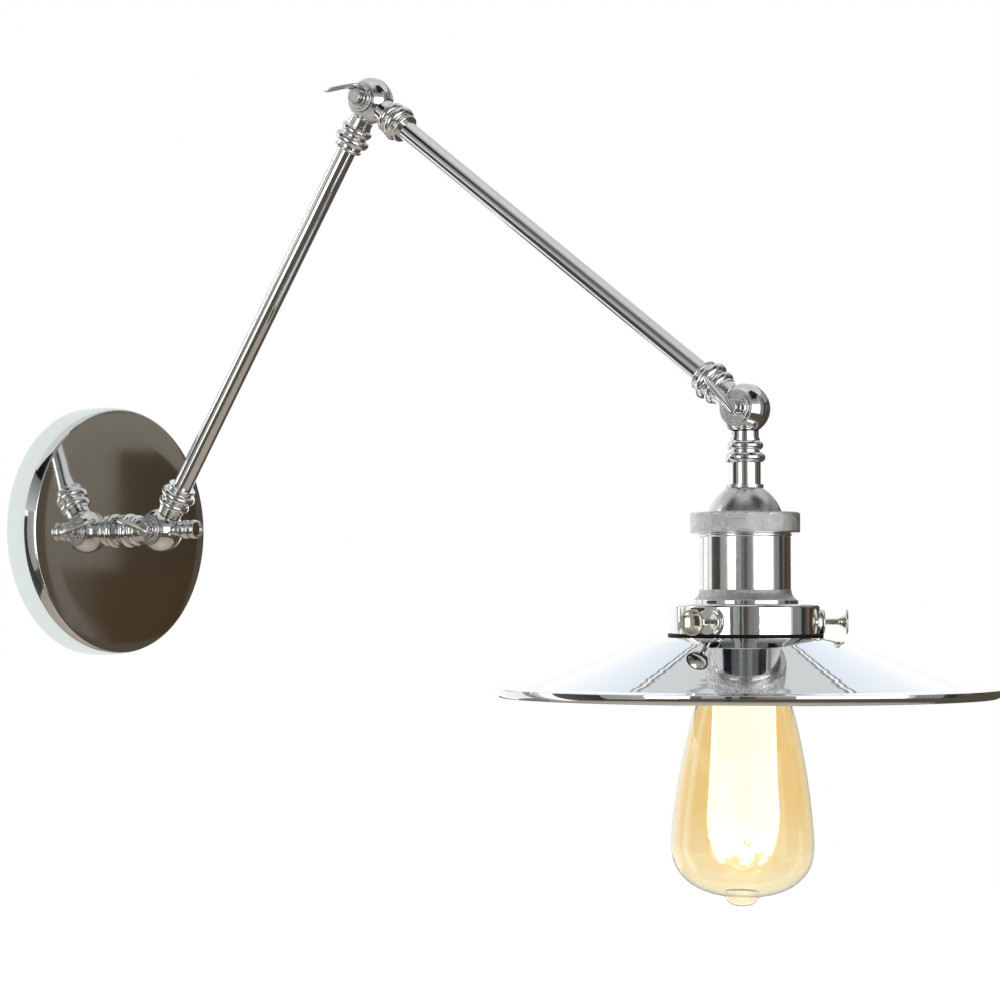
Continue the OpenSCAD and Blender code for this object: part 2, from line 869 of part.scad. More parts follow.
// Screw cap with rolled thread ridges and a flared skirt that holds the glass
module bulb_cap() {
    bore_r = cap_r - cap_sheet;
    color("silver")
    on_lamp()
    rotate_extrude($fn = 96)
    difference() {
        union() {
            translate([0, cap_start]) square([cap_r, glass_top - cap_start]);
            for (i = [0 : cap_threads - 1])
                translate([cap_thread_r - cap_thread_bead, cap_start + cap_pitch * (i + 0.6)])
                circle(r = cap_thread_bead, $fn = 32);
            translate([0, glass_top - 0.8]) square([cap_skirt_r, 1.8]);
        }
        translate([0, cap_start + 0.5]) square([bore_r, glass_top]);
        translate([0, glass_top]) square([cap_skirt_bore, glass_t + over]);
        axis_cut();
    }
}

// Glass foot inside the bulb: a flare on the cap's end, and a rod with two buttons for the wires
module bulb_stem() {
    cone_top = glass_top + flare_t;
    cone_end = cone_top + flare_cone[2];
    color([0.9, 0.95, 1, 0.6])
    on_lamp() {
        translate([0, 0, glass_top]) cylinder(r = glass_neck_r - glass_t - fit_gap, h = flare_t);
        translate([0, 0, cone_top]) cylinder(r1 = flare_cone[0], r2 = flare_cone[1], h = flare_cone[2]);
        translate([0, 0, cone_end - 1]) cylinder(r = stem_rod_r, h = high_hub - cone_end + 1);
        translate([0, 0, high_hub]) cylinder(r = arbor_r, h = low_hub - high_hub);
        for (hub = [high_hub, low_hub]) translate([0, 0, hub]) sphere(r = button_r);
    }
}

// Hooks that hold the filament's hairpins, alternately high and low
function hook_point(i) =
    let (a = i * 180 / filament_loops, hook = i % 2 ? low_hook : high_hook)
    [hook[0] * cos(a), hook[0] * sin(a), hook[1]];

// Support wire from a button's ring to the surface of one hook
module support_wire(i) {
    a = i * 180 / filament_loops;
    root_r = button_ring[0] - support_r;
    root = [root_r * cos(a), root_r * sin(a), i % 2 ? low_hub : high_hub];
    way = hook_point(i) - root;
    rod(root, hook_point(i) - way * hook_r / norm(way), support_r);
}

module lead_wires() {
    half = button_ring[1] / 2;
    color("silver")
    on_lamp() {
        for (hub = [high_hub, low_hub]) ring(button_ring[0], button_r, hub - half, hub + half);
        for (i = [0 : 2 * filament_loops - 1]) support_wire(i);
    }
}

// Squirrel-cage filament: straight legs between high and low hooks
module filament() {
    last = 2 * filament_loops - 1;
    color("orange")
    on_lamp() {
        for (i = [0 : last - 1]) rod(hook_point(i), hook_point(i + 1), filament_r);
        for (i = [0 : last]) translate(hook_point(i)) sphere(r = hook_r);
    }
}

canopy();
wall_bracket();
bracket_nut();
canopy_nut();
swivel_bush();
terminal_block();
earth_screw();
base_post();
retaining_ring();
base_collar();
base_knuckle();
base_washer();
base_screw();
lock_knob();
base_lever();
lower_foot();
lower_foot_collar();
lower_tube();
lower_wire();
lower_top_collar();
elbow_knuckle();
elbow_washer();
elbow_screw();
elbow_lever();
upper_foot();
upper_foot_collar();
upper_tube();
upper_wire();
upper_end_collar();
lamp_knuckle();
lamp_washer();
lamp_screw();
lamp_lever();
head_swivel();
head_collar();
head_stem();
cap_nut();
holder_cap();
knurled_ring();
holder_sleeve();
holder_skirt();
holder_core();
terminal_screws();
centre_contact();
screw_shell();
gallery();
gallery_nut();
shade();
thumb_screw_left();
thumb_screw_front();
thumb_screw_back();
bulb_contact();
bulb_insulator();
bulb_cap();
bulb_glass();
bulb_stem();
lead_wires();
filament();
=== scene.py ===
# Swing arm wall sconce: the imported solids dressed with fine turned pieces, finishes and a plain studio.
import json
import bpy
import numpy as np
from mathutils import Matrix, Vector


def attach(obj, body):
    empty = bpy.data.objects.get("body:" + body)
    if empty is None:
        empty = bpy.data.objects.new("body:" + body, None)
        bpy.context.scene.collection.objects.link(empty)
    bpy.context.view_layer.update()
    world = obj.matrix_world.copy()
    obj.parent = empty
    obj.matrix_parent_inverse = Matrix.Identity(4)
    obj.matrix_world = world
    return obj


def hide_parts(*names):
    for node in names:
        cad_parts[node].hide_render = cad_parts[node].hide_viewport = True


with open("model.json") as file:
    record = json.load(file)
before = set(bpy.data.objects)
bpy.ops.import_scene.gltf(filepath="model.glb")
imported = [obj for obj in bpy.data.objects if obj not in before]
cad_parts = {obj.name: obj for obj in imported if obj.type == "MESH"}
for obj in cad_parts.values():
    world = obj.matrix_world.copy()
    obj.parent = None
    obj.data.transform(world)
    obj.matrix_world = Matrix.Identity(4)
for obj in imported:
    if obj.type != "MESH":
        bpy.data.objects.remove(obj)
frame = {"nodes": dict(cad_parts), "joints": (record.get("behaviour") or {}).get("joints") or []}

scene = bpy.context.scene
bpy.context.view_layer.update()
print("frame loaded:", len(frame["nodes"]), "solids")


view = {"place": (-0.9068, -0.8747, -0.0339), "turn": 55.92, "tilt": 2.345, "lens": 83.2, "sensor": 36,
        "near": 0.05, "far": 60}


def outward(azimuth, elevation):
    # (sin az cos el, cos az cos el, sin el), from angles in degrees
    az, el = np.radians(azimuth), np.radians(elevation)
    return np.stack([np.sin(az) * np.cos(el), np.cos(az) * np.cos(el), np.sin(el)], -1)


def addObject(name, data):
    # One object in the scene
    item = bpy.data.objects.new(name, data)
    scene.collection.objects.link(item)
    return item


def addCamera(v):
    # Looks outward from its place along its turn and tilt
    way = Vector(outward(v["turn"], v["tilt"]))
    data = bpy.data.cameras.new("viewCamera")
    data.lens, data.sensor_width = v["lens"], v["sensor"]
    data.clip_start, data.clip_end = v["near"], v["far"]
    camera = addObject("viewCamera", data)
    camera.location = v["place"]
    camera.rotation_euler = way.to_track_quat("-Z", "Y").to_euler()
    scene.camera = camera


addCamera(view)
print("camera placed")


# Joints are in metres; radii and heights along each piece's own axis are in millimetres
perMetre = 1000
jointPlace = {j["name"]: np.array(j["pos_m"]) for j in frame["joints"]}
basePlace = jointPlace["base_tilt"]
elbowPlace = jointPlace["elbow_tilt"]
lampPlace = jointPlace["head_tilt"]


def seat(origin, axis, across=(1, 0, 0)):
    # Local frame: Z along axis, X as near across as a right angle allows, millimetres to metres
    z = np.array(axis, float) / np.linalg.norm(axis)
    x = np.array(across, float) - z * np.dot(z, across)
    x /= np.linalg.norm(x)
    m = np.eye(4)
    m[:3, :3] = np.stack([x, np.cross(z, x), z], 1) / perMetre
    m[:3, 3] = origin
    return m


def leaning(origin, degrees):
    # Local Z leans from upright towards the room by an angle
    a = np.radians(degrees)
    return seat(origin, (0, -np.sin(a), np.cos(a)))


onWall = seat((0, 0, 0), (0, -1, 0))
onLamp = seat(lampPlace, (0, 0, -1))
bulbLean = {"degrees": 0.9, "pivot": 84, "towards": (-0.56, 0.83)}
shadeLean = {"degrees": 0.55, "pivot": 126, "towards": (-0.83, -0.56)}


def leaningLamp(p):
    # The lamp's frame, its axis (x sin a, y sin a, -cos a), turned about a point on the upright axis
    a = np.radians(p["degrees"])
    x, y = p["towards"]
    axis = np.array([x * np.sin(a), y * np.sin(a), -np.cos(a)])
    pivot = lampPlace - (0, 0, p["pivot"] / perMetre)
    return seat(pivot - axis * p["pivot"] / perMetre, axis)


onBulb = leaningLamp(bulbLean)
onShade = leaningLamp(shadeLean)


tiny = {"length": 1e-12, "pole": 1e-6, "turn": 1e-4}


def unit(v):
    # Vector over its length
    return v / np.maximum(np.linalg.norm(v, axis=-1, keepdims=True), tiny["length"])


def roundAngles(count):
    # 360 k / count degrees, k from 0 to count - 1
    return np.linspace(0, 2 * np.pi, count, endpoint=False)


def aroundAxis(r, z, a):
    # (r cos a, r sin a, z)
    return np.stack([r * np.cos(a), r * np.sin(a), z + 0 * a], -1)


def gridNormals(p, closed):
    # Cross product of the differences along the columns and the rows
    along = np.roll(p, -1, 0) - np.roll(p, 1, 0)
    if not closed:
        along[0], along[-1] = p[1] - p[0], p[-1] - p[-2]
    return unit(np.cross(np.roll(p, -1, 1) - np.roll(p, 1, 1), along))


def surface(points, normals=None, closed=False, place=np.eye(4)):
    # Grid of rows and wrapped columns; an end row that shrinks to one point becomes a pole
    if normals is None:
        normals = gridNormals(points, closed)
    spread = np.ptp(points[[0, -1]], axis=1).max(axis=1) < tiny["pole"]
    poles = [bool(small) and not closed for small in spread]
    for row, near, pole in ((0, 1, poles[0]), (-1, -2, poles[1])):
        if pole:
            normals[row] = unit(normals[near].mean(axis=0))
    turn = unit(place[:3, :3].T).T
    world = points @ place[:3, :3].T + place[:3, 3]
    return {"points": world, "normals": unit(normals @ turn.T), "closed": closed, "poles": poles}


def roundedProfile(corners, closed=True, steps=5):
    # Corners are [radius, height, fillet]: a fillet is an arc tangent to both sides of its corner,
    # centre + fillet * (cos, sin), and a corner without one takes the mean of its sides' normals
    c = np.array([list(row) + [0] * (3 - len(row)) for row in corners], float)
    after = np.roll(c[:, :2], -1, 0)
    if np.sum(c[:, 0] * after[:, 1] - after[:, 0] * c[:, 1]) < 0:
        c = c[::-1]
    way = unit(np.roll(c[:, :2], -1, 0) - c[:, :2])
    out = np.stack([way[:, 1], -way[:, 0]], 1)
    points, normals = [], []
    for i, (r, z, fillet) in enumerate(c):
        first, last = out[i - 1], out[i]
        if not closed and i in (0, len(c) - 1):
            side = last if i == 0 else first
            points.append([[r, z]])
            normals.append([side])
            continue
        turn = np.arctan2(first[0] * last[1] - first[1] * last[0], np.dot(first, last))
        if fillet == 0 or abs(turn) < tiny["turn"]:
            points.append([[r, z]])
            normals.append([unit(first + last)])
            continue
        half = (np.pi - abs(turn)) / 2
        middle = np.array([r, z]) + unit(way[i] - way[i - 1]) * fillet / np.sin(half)
        t = turn * np.linspace(0, 1, steps)[:, None]
        across, along = first
        n = np.hstack([across * np.cos(t) - along * np.sin(t), across * np.sin(t) + along * np.cos(t)])
        points.append(middle + np.sign(turn) * fillet * n)
        normals.append(n)
    return np.vstack(points), np.vstack(normals)


def turned(corners, place, closed=True, columns=96, steps=5):
    # Lathe: each profile point sweeps (r cos a, r sin a, z)
    p, n = roundedProfile(corners, closed, steps)
    a = roundAngles(columns)
    spin = lambda q: aroundAxis(q[:, :1], q[:, 1:], a)
    return surface(spin(p), spin(n), closed, place)


tubeAside = (0.31, 0.57, 0.76)


def tube(path, radius, place, columns):
    # Round section carried along a path: side = path's way x one fixed vector, up = way x side
    path = np.array(path, float)
    way = unit(np.gradient(path, axis=0))
    side = unit(np.cross(way, tubeAside))
    up = np.cross(way, side)
    a = roundAngles(columns)[:, None]
    ring = -side[:, None] * np.cos(a) + up[:, None] * np.sin(a)
    rows = path[:, None] + ring * radius
    ends = [path[:1, None] + 0 * ring[:1], path[-1:, None] + 0 * ring[:1]]
    return surface(np.concatenate([ends[0], rows, ends[1]]), None, False, place)


def buildMesh(name, surfaces):
    # Quads between neighbouring rows and columns, triangles at poles, unused points dropped
    points, normals, quads, tris, start = [], [], [], [], 0
    for s in surfaces:
        rows, columns = s["points"].shape[:2]
        index = np.arange(rows * columns).reshape(rows, columns) + start
        start += rows * columns
        for row, pole in ((0, s["poles"][0]), (-1, s["poles"][1])):
            if pole:
                index[row] = index[row, 0]
        ahead = np.roll(index, -1, 1)
        cells = np.stack([index, ahead, np.roll(ahead, -1, 0), np.roll(index, -1, 0)], -1)
        if not s["closed"]:
            cells = cells[:-1]
            if s["poles"][1]:
                tris.append(cells[-1][:, [0, 1, 2]])
                cells = cells[:-1]
            if s["poles"][0]:
                tris.append(cells[0][:, [0, 2, 3]])
                cells = cells[1:]
        quads.append(cells.reshape(-1, 4))
        points.append(s["points"].reshape(-1, 3))
        normals.append(s["normals"].reshape(-1, 3))
    points, normals = np.vstack(points), np.vstack(normals)
    quads = np.vstack(quads)
    tris = np.vstack(tris) if tris else np.zeros((0, 3), int)
    corners = np.concatenate([tris.ravel(), quads.ravel()])
    used, corners = np.unique(corners, return_inverse=True)
    sizes = np.concatenate([np.full(len(tris), 3), np.full(len(quads), 4)])
    mesh = bpy.data.meshes.new(name)
    mesh.vertices.add(len(used))
    mesh.vertices.foreach_set("co", points[used].ravel())
    mesh.loops.add(len(corners))
    mesh.loops.foreach_set("vertex_index", corners.ravel())
    mesh.polygons.add(len(sizes))
    mesh.polygons.foreach_set("loop_start", np.concatenate([[0], np.cumsum(sizes)[:-1]]))
    mesh.update(calc_edges=True)
    mesh.shade_smooth()
    mesh.normals_split_custom_set_from_vertices(normals[used])
    return mesh


def makePiece(name, surfaces, body, finish, replaces=()):
    # One mesh that rides a body, takes a finish, and stands for the solids it replaces
    piece = addObject(name, buildMesh(name, surfaces))
    piece.data.materials.append(finishes[finish])
    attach(piece, body)
    if replaces:
        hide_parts(*replaces)
    return piece


def nodeGroup(name, inputs, outputs):
    # Empty shader group; each socket is a label and a kind
    group = bpy.data.node_groups.new(name, "ShaderNodeTree")
    for way, sockets in (("INPUT", inputs), ("OUTPUT", outputs)):
        for label, kind in sockets.items():
            group.interface.new_socket(label, in_out=way, socket_type="NodeSocket" + kind)
    return group, group.nodes.new("NodeGroupInput"), group.nodes.new("NodeGroupOutput")


def feed(tree, node, **sockets):
    # Links or sets a node's sockets, named with underscores for spaces, or n0, n1 for numbered ones
    for key, value in sockets.items():
        numbered = key[0] == "n" and key[1:].isdigit()
        socket = node.inputs[int(key[1:]) if numbered else key.replace("_", " ")]
        if isinstance(value, bpy.types.NodeSocket):
            tree.links.new(value, socket)
        else:
            socket.default_value = value


def wire(tree, kind, settings=None, **sockets):
    # Adds one node with its settings and sockets
    node = tree.nodes.new(kind)
    for key, value in (settings or {}).items():
        setattr(node, key, value)
    feed(tree, node, **sockets)
    return node


def mapRange(tree, value, span, low=0, high=1):
    # low + (high - low) (value - span[0]) / (span[1] - span[0]), held between low and high
    return wire(tree, "ShaderNodeMapRange", n0=value, n1=span[0], n2=span[1], n3=low, n4=high).outputs[0]


def maths(tree, operation, *values):
    # One operation on two or three values
    numbered = {f"n{i}": value for i, value in enumerate(values)}
    return wire(tree, "ShaderNodeMath", {"operation": operation}, **numbered).outputs[0]


def noise(tree, place, scale, detail, roughness=0.5):
    # Smooth random value of place times scale
    values = {"Vector": place, "Scale": scale, "Detail": detail, "Roughness": roughness}
    return wire(tree, "ShaderNodeTexNoise", **values).outputs[0]


bumpDistance = 0.001


def bumped(tree, strength, height, **under):
    # Normal tilted by strength times the slope of height, over another normal where one is given
    values = {"Strength": strength, "Distance": bumpDistance, "Height": height}
    return wire(tree, "ShaderNodeBump", **values, **under).outputs[0]


marking = {"scale": 40, "softDetail": 3, "softRough": 0.55, "fineTimes": 9, "fineDetail": 4, "fineRough": 0.6,
           "span": (0.16, 0.42)}


def marksGroup(p):
    # Faint handling marks: mask = large soft clouds times small specks, roughness = low + (high - low) mask
    inputs = {"Vector": "Vector", "Scale": "Float", "Low": "Float", "High": "Float"}
    g, source, out = nodeGroup("handlingMarks", inputs, {"Roughness": "Float", "Mask": "Float"})
    i = source.outputs
    soft = noise(g, i["Vector"], i["Scale"], p["softDetail"], p["softRough"])
    fineScale = maths(g, "MULTIPLY", i["Scale"], p["fineTimes"])
    fine = noise(g, i["Vector"], fineScale, p["fineDetail"], p["fineRough"])
    mask = mapRange(g, maths(g, "MULTIPLY", soft, fine), p["span"])
    feed(g, out, Mask=mask, Roughness=mapRange(g, mask, (0, 1), i["Low"], i["High"]))
    return g


turning = {"lineDetail": 2, "waveDetail": 1}


def turningGroup(p):
    # Lathe lines: noise read along one number, the distance along or from a piece's axis
    inputs = {"Distance": "Float", "Lines": "Float", "Waves": "Float"}
    g, source, out = nodeGroup("latheLines", inputs, {"Height": "Float", "Wave": "Float"})
    i = source.outputs
    for label, scale, detail in (("Height", "Lines", p["lineDetail"]), ("Wave", "Waves", p["waveDetail"])):
        values = {"W": i["Distance"], "Scale": i[scale], "Detail": detail}
        line = wire(g, "ShaderNodeTexNoise", {"noise_dimensions": "1D"}, **values)
        feed(g, out, **{label: line.outputs[0]})
    return g


handlingMarks = marksGroup(marking)
latheLines = turningGroup(turning)


def startMaterial(name):
    # New material, its tree, its Principled shader and the object's own coordinates
    material = bpy.data.materials.new(name)
    material.use_nodes = True
    tree = material.node_tree
    shader = tree.nodes["Principled BSDF"]
    place = tree.nodes.new("ShaderNodeTexCoord").outputs["Object"]
    return material, tree, shader, place


def useGroup(tree, group, **sockets):
    # One copy of a shader group
    return wire(tree, "ShaderNodeGroup", {"node_tree": group}, **sockets)


def blendColours(tree, factor, *colours):
    # first + (second - first) factor in each channel; a colour is three numbers or a socket
    first, second = (c if isinstance(c, bpy.types.NodeSocket) else (*c, 1) for c in colours)
    return wire(tree, "ShaderNodeMix", {"data_type": "RGBA"}, n0=factor, n6=first, n7=second).outputs[2]


def markedMaterial(name, pale, deep, low, high, scale):
    # Principled material: colour = pale + (deep - pale) mask, roughness = low + (high - low) mask
    material, tree, shader, place = startMaterial(name)
    marks = useGroup(tree, handlingMarks, Vector=place, Scale=scale, Low=low, High=high)
    colour = blendColours(tree, marks.outputs["Mask"], pale, deep)
    feed(tree, shader, Base_Color=colour, Roughness=marks.outputs["Roughness"])
    return material, tree, shader, place


def metalFinish(name, pale, deep, low, high, scale, peel, peelScale):
    # Metal whose colour and roughness drift with the handling marks, over a faint orange peel
    material, tree, shader, place = markedMaterial(name, pale, deep, low, high, scale)
    skin = noise(tree, place, peelScale, detail=2)
    feed(tree, shader, Metallic=1, Normal=bumped(tree, peel, skin))
    return material


def axisDistance(tree, place, alongAxis):
    # Distance along the lamp's upright axis from its joint, or distance from that axis
    joint = (0, -lampPlace[1], -lampPlace[2])
    local = wire(tree, "ShaderNodeMapping", Vector=place, Location=joint).outputs[0]
    if alongAxis:
        return wire(tree, "ShaderNodeSeparateXYZ", Vector=local).outputs["Z"]
    flat = wire(tree, "ShaderNodeVectorMath", {"operation": "MULTIPLY"}, n0=local, n1=(1, 1, 0))
    return wire(tree, "ShaderNodeVectorMath", {"operation": "LENGTH"}, n0=flat.outputs[0]).outputs["Value"]


def turnedFinish(name, pale, deep, low, high, alongAxis, lines, waves, lineBump, waveBump):
    # Metal with lathe lines: fine lines and slow waves both lift the surface a little
    material, tree, shader, place = startMaterial(name)
    marks = useGroup(tree, handlingMarks, Vector=place, Scale=marking["scale"], Low=low, High=high)
    distance = axisDistance(tree, place, alongAxis)
    lathe = useGroup(tree, latheLines, Distance=distance, Lines=lines, Waves=waves).outputs
    colour = blendColours(tree, lathe["Height"], pale, deep)
    slow = bumped(tree, waveBump, lathe["Wave"])
    both = bumped(tree, lineBump, lathe["Height"], Normal=slow)
    feed(tree, shader, Base_Color=colour, Roughness=marks.outputs["Roughness"], Metallic=1, Normal=both)
    return material


grainTimes = 12


def plasticFinish(name, pale, deep, low, high, scale, bumpStrength, specular=0.5):
    # Moulded or fired surface: colour and roughness drift together over a fine grain
    material, tree, shader, place = markedMaterial(name, pale, deep, low, high, scale)
    grain = noise(tree, place, scale * grainTimes, detail=3)
    feed(tree, shader, Normal=bumped(tree, bumpStrength, grain), Specular_IOR_Level=specular)
    return material


# The facing spans, the band and the patch scale set where the painted sheen lies on the glass
glass = {"rough": 0.03, "drift": 0.3, "outline": (0.5, 0.75), "band": 0.42, "bandHalf": 0.05, "patch": 28,
         "patchSpan": (0.38, 0.5), "index": 1.46}


def glassFinish(name, pale, deep, scale, reach=None, edge=None):
    # Clear glass whose colour drifts with the marks, and goes from pale to deep between the two heights of
    # reach. An edge colour is painted at the outline and in patches of a narrow band inside the outline:
    # a painted sheen that stands for the glass's reflections at glancing angles
    material, tree, shader, place = startMaterial(name)
    marks = useGroup(tree, handlingMarks, Vector=place, Scale=scale, Low=0.0, High=glass["rough"])
    amount = marks.outputs["Mask"]
    if reach:
        height = wire(tree, "ShaderNodeSeparateXYZ", Vector=place).outputs["Z"]
        amount = maths(tree, "MULTIPLY_ADD", amount, glass["drift"], mapRange(tree, height, reach))
    colour = blendColours(tree, amount, pale, deep)
    # Painted sheen: a paler colour by facing at the outline and in patches of a band inside it
    if edge:
        facing = wire(tree, "ShaderNodeLayerWeight", Blend=0.5).outputs["Facing"]
        near = maths(tree, "COMPARE", facing, glass["band"], glass["bandHalf"])
        sheenPatches = mapRange(tree, noise(tree, place, glass["patch"], detail=1), glass["patchSpan"])
        band = maths(tree, "MULTIPLY", near, sheenPatches)
        paintedSheen = maths(tree, "MAXIMUM", mapRange(tree, facing, glass["outline"]), band)
        colour = blendColours(tree, paintedSheen, colour, edge)
    feed(tree, shader, Base_Color=colour, Roughness=marks.outputs["Roughness"], Metallic=0)
    feed(tree, shader, Transmission_Weight=1, IOR=glass["index"])
    return material


glow = {"stretch": (1, 1, 0.12), "streaks": 330, "streakSpan": (0.35, 0.65), "rough": 0.6,
        "left": (-0.25, 0.6), "torn": 120, "tornRough": 0.65, "tornSpan": (0.5, 0.6), "outline": (0.5, 0.92)}


def glowFinish(name, colour, strength, low, high, fade=None):
    # Light given off by hot wire, its colour drifting from low to high in upright streaks. Between the two
    # heights of a fade the glow breaks up, and there it also thins at its outline
    material, tree, shader, place = startMaterial(name)
    stretched = wire(tree, "ShaderNodeMapping", Vector=place, Scale=glow["stretch"]).outputs[0]
    drift = mapRange(tree, noise(tree, stretched, glow["streaks"], detail=2), glow["streakSpan"])
    feed(tree, shader, Emission_Color=blendColours(tree, drift, low, high), Emission_Strength=strength)
    feed(tree, shader, Base_Color=(*colour, 1), Roughness=glow["rough"])
    if fade:
        height = wire(tree, "ShaderNodeSeparateXYZ", Vector=place).outputs["Z"]
        left = mapRange(tree, height, fade, *glow["left"])
        torn = noise(tree, place, glow["torn"], 3, glow["tornRough"])
        body = mapRange(tree, maths(tree, "ADD", left, torn), glow["tornSpan"])
        facing = wire(tree, "ShaderNodeLayerWeight", Blend=0.5).outputs["Facing"]
        rim = mapRange(tree, facing, glow["outline"], 1, 0)
        feed(tree, shader, Alpha=maths(tree, "MULTIPLY", body, rim))
    return material


print("shader groups ready")

# name: pale and deep colour, least and most roughness, scale of the marks, strength and scale of the peel
metals = {
    "polishedChrome": ((0.91, 0.91, 0.905), (0.84, 0.84, 0.83), 0.025, 0.075, 40, 0.02, 260),
    "plateChrome": ((0.92, 0.92, 0.91), (0.87, 0.87, 0.86), 0.05, 0.075, 25, 0.004, 120),
    "satinNickel": ((0.7, 0.7, 0.69), (0.42, 0.42, 0.41), 0.34, 0.5, 420, 0.35, 2300),
    "domeNickel": ((0.74, 0.745, 0.74), (0.68, 0.685, 0.68), 0.24, 0.3, 60, 0.01, 900),
    "ringNickel": ((0.92, 0.92, 0.91), (0.74, 0.74, 0.73), 0.1, 0.2, 160, 0.3, 1400),
    "warmNickel": ((0.87, 0.83, 0.75), (0.72, 0.66, 0.56), 0.06, 0.14, 90, 0.02, 500),
    "zincSteel": ((0.72, 0.73, 0.74), (0.5, 0.5, 0.52), 0.25, 0.45, 120, 0.1, 900),
    "paleBrass": ((0.83, 0.68, 0.38), (0.62, 0.47, 0.22), 0.18, 0.36, 90, 0.05, 700),
    "supportWire": ((0.62, 0.6, 0.56), (0.4, 0.38, 0.35), 0.3, 0.5, 300, 0.05, 900),
}
# name: pale and deep colour, least and most roughness, whether the lines follow the distance along the axis,
# scale of the lines and of the waves, strength of the lines and of the waves
turnedMetals = {
    "spunChrome": ((0.93, 0.93, 0.925), (0.89, 0.89, 0.885), 0.015, 0.04, False, 1500, 150, 0.002, 0.014),
    "brushedSleeve": ((0.92, 0.92, 0.91), (0.8, 0.8, 0.79), 0.1, 0.16, True, 2600, 200, 0.02, 0.004),
}
# name: pale and deep colour, least and most roughness, scale of the marks, strength of the grain, shine
plastics = {
    "nylonWasher": ((0.06, 0.06, 0.06), (0.1, 0.1, 0.095), 0.4, 0.6, 160, 0.08),
    # The next finish is near black: painted shade for the shadowed gap under the gallery
    "sealBlack": ((0.004, 0.004, 0.004), (0.012, 0.011, 0.01), 0.45, 0.6, 160, 0.05, 0.12),
    "wireSleeve": ((0.03, 0.03, 0.03), (0.06, 0.06, 0.055), 0.35, 0.5, 200, 0.05),
    "terminalPlastic": ((0.75, 0.72, 0.62), (0.62, 0.58, 0.48), 0.35, 0.5, 150, 0.05),
    "firedPorcelain": ((0.82, 0.81, 0.77), (0.7, 0.69, 0.64), 0.12, 0.3, 60, 0.05),
    "blackGlaze": ((0.012, 0.011, 0.01), (0.03, 0.028, 0.026), 0.06, 0.2, 150, 0.03),
}
amberHeights = (lampPlace[2] - 0.214, lampPlace[2] - 0.17)
haloHeights = (lampPlace[2] - 0.207, lampPlace[2] - 0.171)
# name: pale and deep colour, scale of the marks, two heights, painted sheen colour at the outline
glasses = {
    "amberGlass": ((0.985, 0.92, 0.74), (0.93, 0.775, 0.485), 14, amberHeights, (0.985, 0.96, 0.85)),
    "stemGlass": ((0.97, 0.98, 0.97), (0.93, 0.95, 0.94), 90),
}
# name: colour under the glow, strength, the two colours of the streaks, two heights
glows = {
    "hotFilament": ((1, 0.8, 0.45), 9, (1, 0.86, 0.5), (1, 0.96, 0.8)),
    "filamentHalo": ((1, 1, 1), 1.6, (1, 0.995, 0.84), (1, 1, 0.99), haloHeights),
}

finishes = {}
for makeFinish, table in ((metalFinish, metals), (turnedFinish, turnedMetals), (plasticFinish, plastics),
                          (glassFinish, glasses), (glowFinish, glows)):
    for name, values in table.items():
        finishes[name] = makeFinish(name, *values)
print("finishes ready")


solidFinish = {
    "polishedChrome": "swivel_bush base_collar base_knuckle base_screw lower_foot lower_foot_collar "
    "lower_tube lower_top_collar elbow_knuckle elbow_screw upper_foot upper_foot_collar upper_tube "
    "upper_end_collar lamp_knuckle lamp_screw head_swivel head_collar head_stem",
    "warmNickel": "thumb_screw_left thumb_screw_back",
    "zincSteel": "wall_bracket bracket_nut canopy_nut base_post retaining_ring cap_nut gallery_nut "
    "bulb_contact",
    "paleBrass": "earth_screw terminal_screws centre_contact screw_shell",
    "nylonWasher": "base_washer elbow_washer lamp_washer",
    "wireSleeve": "lower_wire upper_wire",
    "terminalPlastic": "terminal_block",
    "firedPorcelain": "holder_core",
    "blackGlaze": "bulb_insulator",
    "domeNickel": "holder_cap",
    "brushedSleeve": "holder_sleeve",
}

for finish, names in solidFinish.items():
    for name in names.split():
        solid = frame["nodes"][name]
        if not solid.material_slots:
            solid.data.materials.append(finishes[finish])
        for materialSlot in solid.material_slots:
            materialSlot.material = finishes[finish]
print("solids finished")


plate = {"radius": 66, "depth": 19.3, "side": 10, "edge": 1.5, "wall": 1.2, "bore": 7.02,
         "flat": 50, "fall": 0.45, "gap": (0.25, 0.15)}


def plateCorners(p):
    # Face: flat, then depth - fall t^2 towards its edge, t from 0 to 1. Edge: radius + edgeR (cos a - 1),
    # side + edgeR sin a, cut off a gap below the face
    run = p["depth"] - p["side"]
    edgeR = (run * run + p["edge"] ** 2) / (2 * p["edge"])
    a = np.linspace(0, np.arcsin(run / edgeR), 24)[1:-1]
    x = p["radius"] - edgeR
    outer = np.stack([x + edgeR * np.cos(a), p["side"] + edgeR * np.sin(a)], 1)
    outer = outer[outer[:, 1] < p["depth"] - p["fall"] - p["gap"][1]]
    top = outer[-1, 0] - p["gap"][0]
    w = p["wall"]
    face = np.linspace(p["flat"], top, 20)[:, None]
    face = np.hstack([face, p["depth"] - p["fall"] * ((face - p["flat"]) / (top - p["flat"])) ** 2])
    return (
        [[p["bore"], p["depth"] - w, 0.1], [p["bore"], p["depth"], 0.1]]
        + face.tolist()
        + outer[::-1].tolist()
        + [[p["radius"], p["side"], 0.12], [p["radius"], 0, 0.3], [p["radius"] - w, 0, 0.3]]
        + [[p["radius"] - w, p["side"], 1], [top - w, p["depth"] - w, 1]]
    )


plateSurface = turned(plateCorners(plate), onWall, columns=192)
makePiece("wallPlate", [plateSurface], "wall_plate", "plateChrome", ["canopy"])
print("wall plate made")


lever = {"hubAt": 8.45, "steps": [(7, 1.1), (5.7, 2), (3.7, 6.2)], "bore": 2.55, "bladeX": -14, "width": 7.2,
         "thick": 2.2, "tail": -6.2, "tip": 19, "droop": 0.7, "taper": 2.6, "blunt": 5, "square": 0.75}
# name: joint, lean of the lever, how far aside its blade stands
levers = {"base": (basePlace, -72, 0), "elbow": (elbowPlace, -90, -5), "lamp": (lampPlace, -40, 0)}


